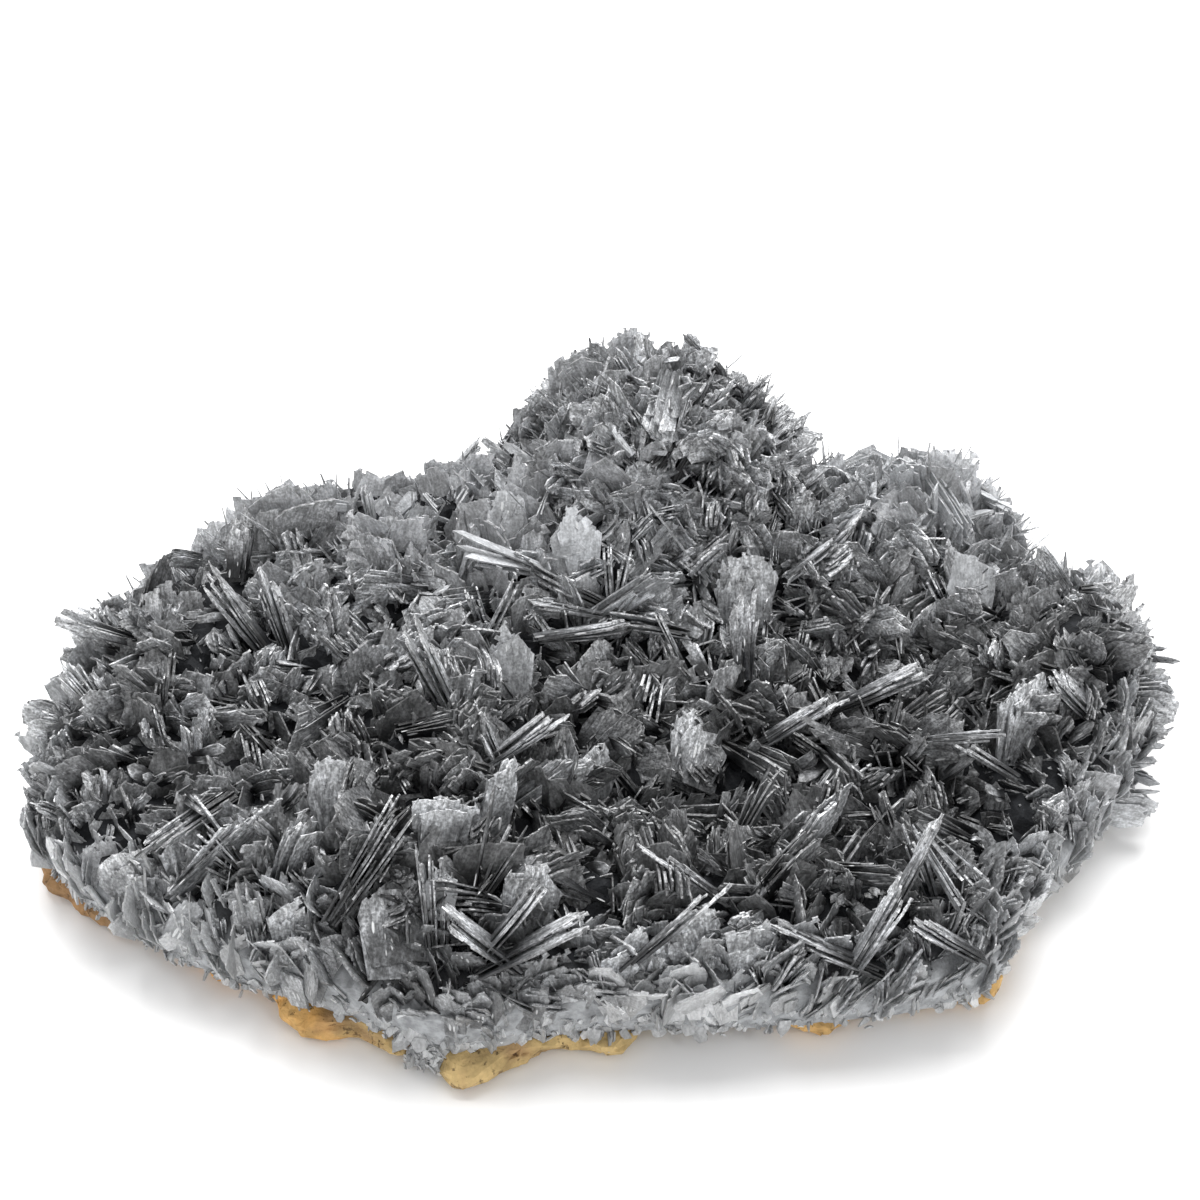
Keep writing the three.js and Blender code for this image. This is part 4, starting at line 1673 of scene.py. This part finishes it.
@dataclass
class BladeCover:
    """All the books of blades that cover the crust, in layers from tall to small."""

    crust: Crust
    tree: BookTree
    finish: Material
    haze: Material
    rim: Material
    free_flank: Pair = (-0.22, 3.16)
    bars: BookDesign = BookDesign(BAR, (4, 8), (10, 15), (6, 9))
    long_bars: BookDesign = BookDesign(BAR, (3.5, 6), (13, 17), (5, 8), ragged=1.2, terrace=0.45)
    rhombs: BookDesign = BookDesign(RHOMB, (7, 12), (8, 12), (4, 7))
    plates: BookDesign = BookDesign(PLATE, (7, 12), (9, 13), (3, 6), notch=0.9, terrace=0.7)
    fans: BookDesign = BookDesign(BAR, (3, 5), (9, 13), (6, 9), fan=(2, 6), pitch=(0.22, 0.5), ragged=2)
    laths: BookDesign = BookDesign(
        LATH, (1.8, 3.0), (13, 18), (3, 5), fan=(1, 5), ragged=3, step=4.0, notch=0.3,
    )
    tufts: BookDesign = BookDesign(RHOMB, (5, 9), (6, 10), (2, 4), ragged=2.5, root=4, step=4.0)
    needles: BookDesign = BookDesign(
        SPLINTER, (0.6, 1.0), (8, 12), (4, 7), fan=(4, 9), ragged=8, step=20,
    )
    scales: BookDesign = BookDesign(
        RHOMB, (8, 13), (8, 12), (2, 3), pitch=(0.3, 1.1), solid=(0.4, 0.8), terrace=0.6, ragged=3,
        step=1.6, notch=1.1, bend=0.15,
    )
    slivers: BookDesign = BookDesign(
        BAR, (1.4, 3.2), (4, 8), (2, 4), ragged=3, step=2.6, notch=0.7, root=2,
    )
    scraps: BookDesign = BookDesign(
        CHIP, (2.5, 5), (2.5, 5), (2, 3), ragged=4, step=3.0, notch=0.8, root=0,
    )
    sprays: BookDesign = BookDesign(
        SPLINTER, (0.4, 0.8), (10, 15), (4, 7), fan=(4, 10), ragged=9, step=20, notch=0.1, root=6,
    )
    planter: Planter = field(init=False, default=None)
    spots: np.ndarray = field(init=False, default=None)

    def __post_init__(self) -> None:
        """Sets out the rosettes, and notes where the landmarks stand."""
        self.planter = Planter(self.crust)
        self.spots = np.array([mark.at for mark in LANDMARKS], float)

    def build(self) -> list[Object]:
        """Plants every layer.

        Returns:
            All their pieces.
        """
        kinds = (self.bars, self.rhombs, self.plates, self.fans, self.laths, self.long_bars)
        coarse = tuple(replace(book, step=3.2, blades=(4, 6)) for book in kinds[:4])
        leaves = replace(self.scales, habit=PLATE, width=(7, 12))
        tall = BookShelf("tall_books", kinds, 12, 100).build()
        low = BookShelf("low_books", coarse, 9, 300).build()
        hazy = BookShelf("hazy_plates", (self.scales, leaves), 14, 800).build()
        pieces = [
            self.marked("landmark_books", LANDMARKS, self.finish, 600, 8),
            self.marked("veil_plates", VEILS, self.haze, 640, 14),
        ]
        broad, made = self.tall_layer(tall)
        pieces += [*made, self.strewn_layer(tall), *self.low_layers(low, hazy, broad)]
        pieces += [self.sliver_layer(), self.spray_layer(), *self.tuft_layer()]
        pieces += [self.flank_layer(low), self.lip_layer(hazy)]
        for shelf in (tall, low, hazy):
            shelf.clear()
        return pieces

    def marked(
        self, name: str, marks: tuple[Landmark, ...], finish: Material, books: int, seed: int
    ) -> Object:
        """Plants books whose places are listed one by one.

        Args:
            name: The piece's name.
            marks: The books.
            finish: What they are made of.
            books: Seed of their blades' irregularities.
            seed: Seed of their lean.

        Returns:
            The piece.
        """
        shelf = BookShelf(name, tuple(mark.design() for mark in marks), 1, books).build()
        piece = self.tree.plant(name, self.planter.show(marks), shelf, finish, 0.03, seed)
        shelf.clear()
        return piece

    def tall_layer(self, shelf: BookShelf, seed: int = 21) -> tuple[Sites, list[Object]]:
        """Plants the tall books.

        Args:
            shelf: The books.
            seed: Seed of where they stand.

        Returns:
            The sites that hazy plates take instead, and the layer's pieces.
        """
        rng, planter = np.random.default_rng(seed), self.planter
        sites = planter.burst(rng, (3, 4), 1.0, (0.8, 1.1))
        sites += planter.stand(planter.darts(rng, 5.3, 1.5), rng, 1.2, 1.2, 0.5, (0.75, 1.08), 60.0)
        broad, sites = planter.part(sites.clear_of(self.spots, 3.0), rng)
        sites.kind = shelf.pick(rng, (0.42, 0.19, 0.17, 0.1, 0.04, 0.08), len(sites.size))
        return broad, self.halves("tall_books", sites, shelf, 3)

    def strewn_layer(self, shelf: BookShelf, seed: int = 26) -> Object:
        """Plants the long books that lie slantwise over the tall ones.

        Args:
            shelf: The books.
            seed: Seed of where they stand.

        Returns:
            The piece.
        """
        rng = np.random.default_rng(seed)
        sites = self.planter.strew(rng, 11.0, (1.0, 4.0)).clear_of(self.spots, 5.0)
        _, sites = self.planter.part(sites, rng)
        sites.kind = shelf.pick(rng, (0.4, 0.08, 0.0, 0.02, 0.1, 0.4), len(sites.size))
        return self.tree.plant("strewn_books", sites, shelf, self.finish, 0.1, 9)

    def low_layers(
        self, low: BookShelf, hazy: BookShelf, broad: Sites, seed: int = 22
    ) -> list[Object]:
        """Plants the low books, and all the upright hazy plates.

        Args:
            low: The low books.
            hazy: The hazy plates.
            broad: Sites for hazy plates from the layers above.
            seed: Seed of where they stand.

        Returns:
            Both layers' pieces.
        """
        rng, planter = np.random.default_rng(seed), self.planter
        points = planter.darts(rng, 3.8, 0.5, 18000)
        more, sites = planter.part(planter.stand(points, rng, 1.8, 1.2, 0.7, (0.6, 0.88), 62.0), rng)
        broad += more
        points = planter.darts(rng, 4.5, 1.0, 16000)
        more, _ = planter.part(planter.stand(points, rng, 0.0, 1.2, 0.5, (0.8, 1.1)), rng)
        broad += more.clear_of(self.spots, 2.5)
        sites.kind = low.pick(rng, (0.4, 0.26, 0.16, 0.18), len(sites.size))
        sites.milk = sites.milk - 0.1
        broad.kind = hazy.pick(rng, (0.5, 0.5), len(broad.size))
        return [
            *self.halves("low_books", sites, low, 4),
            self.tree.plant("hazy_plates", broad, hazy, self.haze, 0.1, 10),
        ]

    def sliver_layer(self, seed: int = 27) -> Object:
        """Plants the small slivers that lie slantwise over the rest.

        Args:
            seed: Seed of where they stand.

        Returns:
            The piece.
        """
        shelf = BookShelf("slivers", (self.slivers, self.scraps), 14, 850).build()
        rng = np.random.default_rng(seed)
        sites = self.planter.strew(rng, 4.6, (0.0, 4.5)).clear_of(self.spots, 3.0)
        sites = sites.only(self.planter.strength(*sites.place[:, :2].T) > 0.8)
        sites.kind = shelf.pick(rng, (0.7, 0.3), len(sites.size))
        piece = self.tree.plant("slivers", sites, shelf, self.finish, 0.3, 12)
        shelf.clear()
        return piece

    def spray_layer(self, seed: int = 28) -> Object:
        """Plants the fine needles along the far side.

        Args:
            seed: Seed of where they stand.

        Returns:
            The piece.
        """
        shelf = BookShelf("sprays", (self.sprays,), 12, 900).build()
        rng = np.random.default_rng(seed)
        points = self.planter.darts(rng, 5.2, 3.0)
        points = points[points[:, 1] > 8 - 0.12 * np.abs(points[:, 0])]
        sites = self.planter.stand(points, rng, 1.0, 1.2, 0.6, (0.7, 1.0), 40.0)
        sites.kind = shelf.pick(rng, (1.0,), len(sites.size))
        piece = self.tree.plant("sprays", sites, shelf, self.haze, 0.2, 13)
        shelf.clear()
        return piece

    def tuft_layer(self, seed: int = 23) -> list[Object]:
        """Plants the small tufts that fill the ground between the books, darkened there as painted shade.

        Args:
            seed: Seed of where they stand.

        Returns:
            The pieces.
        """
        shelf = BookShelf("small_books", (self.tufts, self.needles), 12, 500).build()
        rng, planter = np.random.default_rng(seed), self.planter
        sites = planter.stand(planter.darts(rng, 3.15, 0.3, 24000), rng, 1.0, 1.1, 0.9, (0.7, 1.05), 70.0)
        sites.kind = shelf.pick(rng, (0.93, 0.07), len(sites.size))
        # painted shade: the tufts down between the books are made darker
        sites.milk = sites.milk - 0.3
        pieces = self.halves("small_tufts", sites, shelf, 5)
        shelf.clear()
        return pieces

    def flank_layer(self, shelf: BookShelf, seed: int = 24, count: int = 350) -> Object:
        """Plants the books that grow outwards from the free flank.

        Args:
            shelf: The books.
            seed: Seed of where they stand.
            count: How many there are.

        Returns:
            The piece.
        """
        rng = np.random.default_rng(seed)
        sites = self.planter.skirt(rng, self.free_flank, count)
        sites.kind = shelf.pick(rng, (0.4, 0.35, 0.05, 0.2), len(sites.size))
        return self.tree.plant("flank_books", sites, shelf, self.finish, 0.2, 6)

    def lip_layer(self, shelf: BookShelf, seed: int = 25, count: int = 420) -> Object:
        """Plants the milky plates along the lip of the broken side.

        Args:
            shelf: The books.
            seed: Seed of where they stand.
            count: How many there are.

        Returns:
            The piece.
        """
        rng = np.random.default_rng(seed)
        sites = self.planter.lip(rng, BROKEN_FRONT, count)
        sites.kind = shelf.pick(rng, (0.5, 0.5), len(sites.size))
        return self.tree.plant("lip_books", sites, shelf, self.rim, 0.1, 7)

    def halves(self, name: str, sites: Sites, shelf: BookShelf, seed: int) -> list[Object]:
        """Plants one layer as two pieces, every other book in each.

        Args:
            name: The start of their names.
            sites: Where the books stand.
            shelf: The books.
            seed: Seed of their lean.

        Returns:
            The pieces.
        """
        made = []
        for part, letter in enumerate("ab"):
            some = sites.only(slice(part, None, 2))
            made.append(self.tree.plant(f"{name}_{letter}", some, shelf, self.finish, 0.1, seed + 10 * part))
        return made


@dataclass
class BrokenRim:
    """The fractured side along the front: tiers of pale upright sheets, with small flakes between."""

    crust: Crust
    tree: BookTree
    finish: Material
    hem: tuple[Pair, ...] = (  # direction, and how low the sheets start there
        (-3.1, 4.8), (-3.0, 7.0), (-2.78, 7.0), (-2.68, 4.8), (-2.41, 4.8), (-2.4, 3.0), (-2.01, 3.0),
        (-2.0, 1.4), (-1.92, 1.4), (-1.9, 3.0), (-1.51, 3.0), (-1.5, 4.8), (-1.2, 4.8), (-1.1, 6.8),
        (-0.85, 6.8), (-0.75, 4.8),
    )
    sheet_count: int = 580
    flake_count: int = 640
    tongue: Pair = (-2.0, -1.92)  # where flakes reach the foot
    tongue_flakes: int = 70
    sheets: BookDesign = BookDesign(
        PLATE, (5, 10), (5, 8), (2, 4), pitch=(0.25, 0.5), ragged=3, root=2.5, step=2.6, bend=0.1,
    )
    shards: BookDesign = BookDesign(
        BAR, (3, 7), (4, 8), (2, 4), pitch=(0.25, 0.5), ragged=5, root=2.5, step=2.6, notch=1.0,
    )
    flakes: BookDesign = BookDesign(
        CHIP, (2.0, 4.5), (1.6, 3.5), (2, 3), pitch=(0.25, 0.5), fan=(0, 5), ragged=8, root=0,
        notch=0.5, taper=0.0, step=3.0,
    )

    def build(self) -> list[Object]:
        """Stands the sheets on the broken side, and scatters the flakes.

        Returns:
            The two pieces.
        """
        sheets = BookShelf("sheets", (self.sheets, self.shards), 14, 700).build()
        flakes = BookShelf("flakes", (self.flakes,), 20, 740).build()
        made = [
            self.tree.plant("rim_sheets", self.sheet_sites(sheets), sheets, self.finish, 0.12, 31),
            self.tree.plant("rim_flakes", self.flake_sites(flakes), flakes, self.finish, 0.4, 32),
        ]
        sheets.clear()
        flakes.clear()
        return made

    def sheet_sites(self, shelf: BookShelf, seed: int = 31) -> Sites:
        """Sites for the upright sheets, from the hem up.

        Args:
            shelf: The books.
            seed: Seed of where they stand.

        Returns:
            The sites.
        """
        rng, count = np.random.default_rng(seed), self.sheet_count
        turn = rng.uniform(*BROKEN_FRONT, count)
        height = rng.uniform(np.interp(turn, *zip(*self.hem)), self.crust.rim_top)
        x, y = self.crust.at_turn(turn, 3.6 - 0.12 * height + rng.uniform(-0.4, 1.3, count))
        outwards = turn + rng.normal(0, 0.3, count)
        lean = rng.uniform(-0.2, 0.45, count)
        return Sites(
            place=np.stack([x, y, height], 1),
            growth=slanting(outwards, lean, 1.0),
            facing=turn + rng.normal(0, 0.45, count), size=rng.uniform(0.55, 1.0, count),
            kind=shelf.pick(rng, (0.55, 0.45), count), milk=np.clip(rng.normal(0.85, 0.14, count), 0, 1),
        )

    def flake_sites(self, shelf: BookShelf, seed: int = 32) -> Sites:
        """Sites for the flakes, the first of which make the tongue that hangs down to the foot.

        Args:
            shelf: The books.
            seed: Seed of where they stand.

        Returns:
            The sites.
        """
        rng, count, hung = np.random.default_rng(seed), self.flake_count, self.tongue_flakes
        turn = rng.uniform(*BROKEN_FRONT, count)
        height = 5.0 + 5.6 * rng.uniform(0, 1, count) ** 1.2
        deep = rng.uniform(0.6, 2.0, count)
        turn[:hung] = rng.uniform(*self.tongue, hung)
        height[:hung] = rng.uniform(1.6, 6.0, hung)
        deep[:hung] -= 1.4 - 0.2 * height[:hung]
        x, y = self.crust.at_turn(turn, deep)
        inward = turn + math.pi + rng.normal(0, 0.4, count)
        return Sites(
            place=np.stack([x, y, height], 1),
            growth=slanting(inward, 1.0, rng.uniform(1.0, 3.0, count)),
            facing=turn + rng.normal(0, 0.5, count), size=rng.uniform(0.6, 1.1, count),
            kind=rng.integers(0, shelf.copies, count), milk=np.clip(rng.normal(0.95, 0.1, count), 0, 1.1),
        )


@dataclass
class OchreSlab:
    """The limonite slab under the crust, whose lumps show along the front."""

    weld: float = 0.01
    grain: float = 1.7
    relief: float = 1.25
    front_height: float = 0.58
    swells: tuple[Swell, ...] = (
        Swell((-36, -81), 1.9, 4, 6), Swell((-29, -84), -2.8, 3, 6), Swell((-22, -84), 1.3, 2.5, 5),
        Swell((-15, -84), -1.2, 3, 5), Swell((-41, -83), -1.8, 2, 5), Swell((-60, -70), -2.5, 4, 8),
        Swell((-104, -38), 1.8, 5, 6), Swell((-107, -32), 1.8, 5, 5), Swell((68, -74), -1.6, 4, 5),
        Swell((-99, -50), 0.8, 5, 5), Swell((-88, -57), -1.5, 10, 6), Swell((-7, -82), -1.6, 4, 6),
        Swell((2, -82), 1.2, 1.6, 6), Swell((9, -82), -4.0, 4, 6),
    )

    def build(self, finish: Material) -> Object:
        """Makes the slab from the CAD solid, with a broken, pitted surface.

        Args:
            finish: What it is made of.

        Returns:
            The slab.
        """
        mesh = frame["nodes"]["ochre_rock"].data.copy()
        slab = new_object("ochre_slab", mesh)
        weld = slab.modifiers.new("weld", "WELD")
        weld.merge_threshold = self.weld * MM
        remesh = slab.modifiers.new("remesh", "REMESH")
        remesh.mode = "VOXEL"
        remesh.voxel_size = self.grain * MM
        graph = bpy.context.evaluated_depsgraph_get()
        fine = bpy.data.meshes.new_from_object(slab.evaluated_get(graph), depsgraph=graph)
        slab.modifiers.clear()
        slab.data = fine
        fine.name = "ochre_slab"
        self.reshape(fine)
        self.roughen(fine)
        fine.materials.clear()
        fine.materials.append(finish)
        return slab

    def reshape(self, mesh: Mesh) -> None:
        """Lowers the slab along the front, where the crystals hang over it, and moves its edge out or in.

        Args:
            mesh: Its mesh.
        """
        places = to_plan(places_of(mesh))
        away = places[:, :2] - CRUST.heart
        away /= np.maximum(np.linalg.norm(away, axis=1), 1)[:, None]
        places[:, :2] += away * sum(s.lift(places[:, 0], places[:, 1]) for s in self.swells)[:, None]
        places[:, 2] *= 1 - (1 - self.front_height) * np.clip((-25 - places[:, 1]) / 20, 0, 1)
        move_to(mesh, to_frame(places))

    def roughen(self, mesh: Mesh) -> None:
        """Pushes the surface in and out, less on top and not at all underneath.

        Args:
            mesh: The slab's mesh.
        """
        places = places_of(mesh)
        normals = read(mesh.vertex_normals, "vector", places.size, np.float32).reshape(-1, 3)
        spots = [Vector(p) for p in (places / MM).tolist()]
        crease = np.array([noise.voronoi(p * 0.15 + Vector((0, 0, 0.5)))[0][0] for p in spots])
        rough = 2.4 * (0.45 - crease * crease)
        rough += [0.7 * noise.noise(p * 0.4) + 0.4 * noise.noise(p * 1.1) for p in spots]
        store(mesh, "crease", "FLOAT", "POINT", crease)
        fade = np.clip((places[:, 2] / MM - 0.3) / 1.5, 0, 1) * np.where(normals[:, 2] < 0.75, 1.0, 0.3)
        places = places + normals * ((rough * self.relief - 0.3) * fade * MM)[:, None]
        places[:, 2] = np.maximum(places[:, 2], 0.0)
        move_to(mesh, places)


@dataclass(frozen=True)
class Lamp:
    """A soft square lamp: place and size in metres, power in watts."""

    name: str
    place: tuple[float, float, float]
    size: float
    power: float


@dataclass(frozen=True)
class Studio:
    """A pale floor, soft light all round, a few small bright lamps for glints, and the camera."""

    sky: float = 0.78
    floor_side: float = 6.0
    floor_top: float = -0.0001
    aim: tuple[float, float, float] = (0.00054, 0.00344, 0.035)
    distance: float = 0.260
    elevation: float = 40.0
    lens: float = 40.41
    sensor: float = 36.0
    lamps: tuple[Lamp, ...] = (
        Lamp("lamp_left", (-0.9, 0.25, 0.95), 0.16, 1.6),
        Lamp("lamp_right", (0.75, -0.55, 0.9), 0.12, 1.2),
        Lamp("lamp_back", (0.2, 1.0, 0.85), 0.2, 2.4),
        Lamp("softbox", (0.0, 0.55, 1.25), 0.9, 26.0),
    )

    def build(self) -> Object:
        """Sets up the floor, the light and the camera.

        Returns:
            The floor.
        """
        self.place_camera()
        world = bpy.data.worlds.new("studio")
        world.use_nodes = True
        sky = world.node_tree.nodes["Background"]
        sky.inputs["Color"].default_value = (1.0, 1.0, 1.0, 1)
        sky.inputs["Strength"].default_value = self.sky
        bpy.context.scene.world = world
        for lamp in self.lamps:
            self.hang(lamp)
        bpy.context.scene.view_settings.view_transform = "Standard"
        half = self.floor_side / 2
        corners = [(x * half, y * half, self.floor_top) for x, y in ((-1, -1), (1, -1), (1, 1), (-1, 1))]
        mesh = bpy.data.meshes.new("floor")
        mesh.from_pydata(corners, [], [(0, 1, 2, 3)])
        material = bpy.data.materials.new("pale_floor")
        material.use_nodes = True
        shader = material.node_tree.nodes["Principled BSDF"]
        shader.inputs["Base Color"].default_value = (0.93, 0.93, 0.93, 1)
        shader.inputs["Roughness"].default_value = 0.9
        mesh.materials.append(material)
        return new_object("floor", mesh)

    def hang(self, lamp: Lamp) -> None:
        """Adds one lamp, aimed at the specimen.

        Args:
            lamp: The lamp.
        """
        light = bpy.data.lights.new(lamp.name, "AREA")
        light.energy, light.size = lamp.power, lamp.size
        obj = bpy.data.objects.new(lamp.name, light)
        obj.location = lamp.place
        obj.rotation_euler = (Vector(self.aim) - Vector(lamp.place)).to_track_quat("-Z", "Y").to_euler()
        bpy.context.scene.collection.objects.link(obj)

    def place_camera(self) -> None:
        """Adds the camera, level, looking along +Y and down at the specimen."""
        camera = bpy.data.cameras.new("camera")
        camera.lens, camera.sensor_width = self.lens, self.sensor
        camera.clip_start = 0.01
        obj = bpy.data.objects.new("camera", camera)
        rise = math.radians(self.elevation)
        back = Vector((0, -math.cos(rise), math.sin(rise))) * self.distance
        obj.location = Vector(self.aim) + back
        obj.rotation_euler = (math.pi / 2 - rise, 0, 0)
        bpy.context.scene.collection.objects.link(obj)
        bpy.context.scene.camera = obj


# Their root colours are painted shade at the blades' feet, lighter than in the blades' own finish.
HAZE = BariteFinish(
    "barite_haze", root=(0.12, 0.124, 0.13), body=(0.45, 0.457, 0.469), tip=(0.6, 0.607, 0.621),
    milky=(0.68, 0.69, 0.71), clouding=0.6, layering=0.9, grit=0.8, edging=-0.5, bump=0.45,
    transmission=0.45, fading=0.35, dust=0.16, roughness=0.48, softening=0.4,
)
RIM = BariteFinish(
    "barite_rim", root=(0.22, 0.226, 0.235), body=(0.44, 0.45, 0.465), tip=(0.56, 0.573, 0.59),
    milky=(0.8, 0.81, 0.82), clouding=0.6, layering=0.7, grit=0.6, edging=-0.6, bump=0.4,
    transmission=0.42, fading=0.25, roughness=0.45,
)


def keep_in_box(
    piece: Object, low: Vector, high: Vector, spare: float = 0.022, foot: float = 0.0003
) -> None:
    """Trims the few tips that stand outside the CAD solids' box by more than a little.

    Args:
        piece: The piece.
        low: The box's lowest corner.
        high: Its highest corner.
        spare: How far outside tips may stand, as a share of each side.
        foot: How low they may reach.
    """
    room = (high - low) * spare
    floor = np.array((low.x - room.x, low.y - room.y, foot))
    move_to(piece.data, np.clip(places_of(piece.data), floor, np.array(high + room)))


def main() -> None:
    """Builds the specimen and its studio."""
    logging.basicConfig(level=logging.INFO, format="%(message)s")
    low, high = (Vector(corner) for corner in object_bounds())
    floor = Studio().build()
    floor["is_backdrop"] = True
    mottle = mottle_group()
    finishes = (BariteFinish("barite_blades"), HAZE, RIM, BedFinish(), OchreFinish())
    blade, haze, rim, bed, ochre = (finish.build(mottle) for finish in finishes)
    tree = BookTree()
    crust = CrustBody(CRUST).build(bed)
    barite = [crust, *BladeCover(CRUST, tree, blade, haze, rim).build(), *BrokenRim(CRUST, tree, rim).build()]
    for piece in barite:
        keep_in_box(piece, low, high)
        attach(piece, "root")
        log.info("%s: %d faces", piece.name, len(piece.data.polygons))
    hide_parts("barite_cluster")
    slab = OchreSlab().build(ochre)
    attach(slab, "root")
    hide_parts("ochre_rock")
    log.info("%s: %d faces", slab.name, len(slab.data.polygons))


if __name__ == "__main__":
    main()
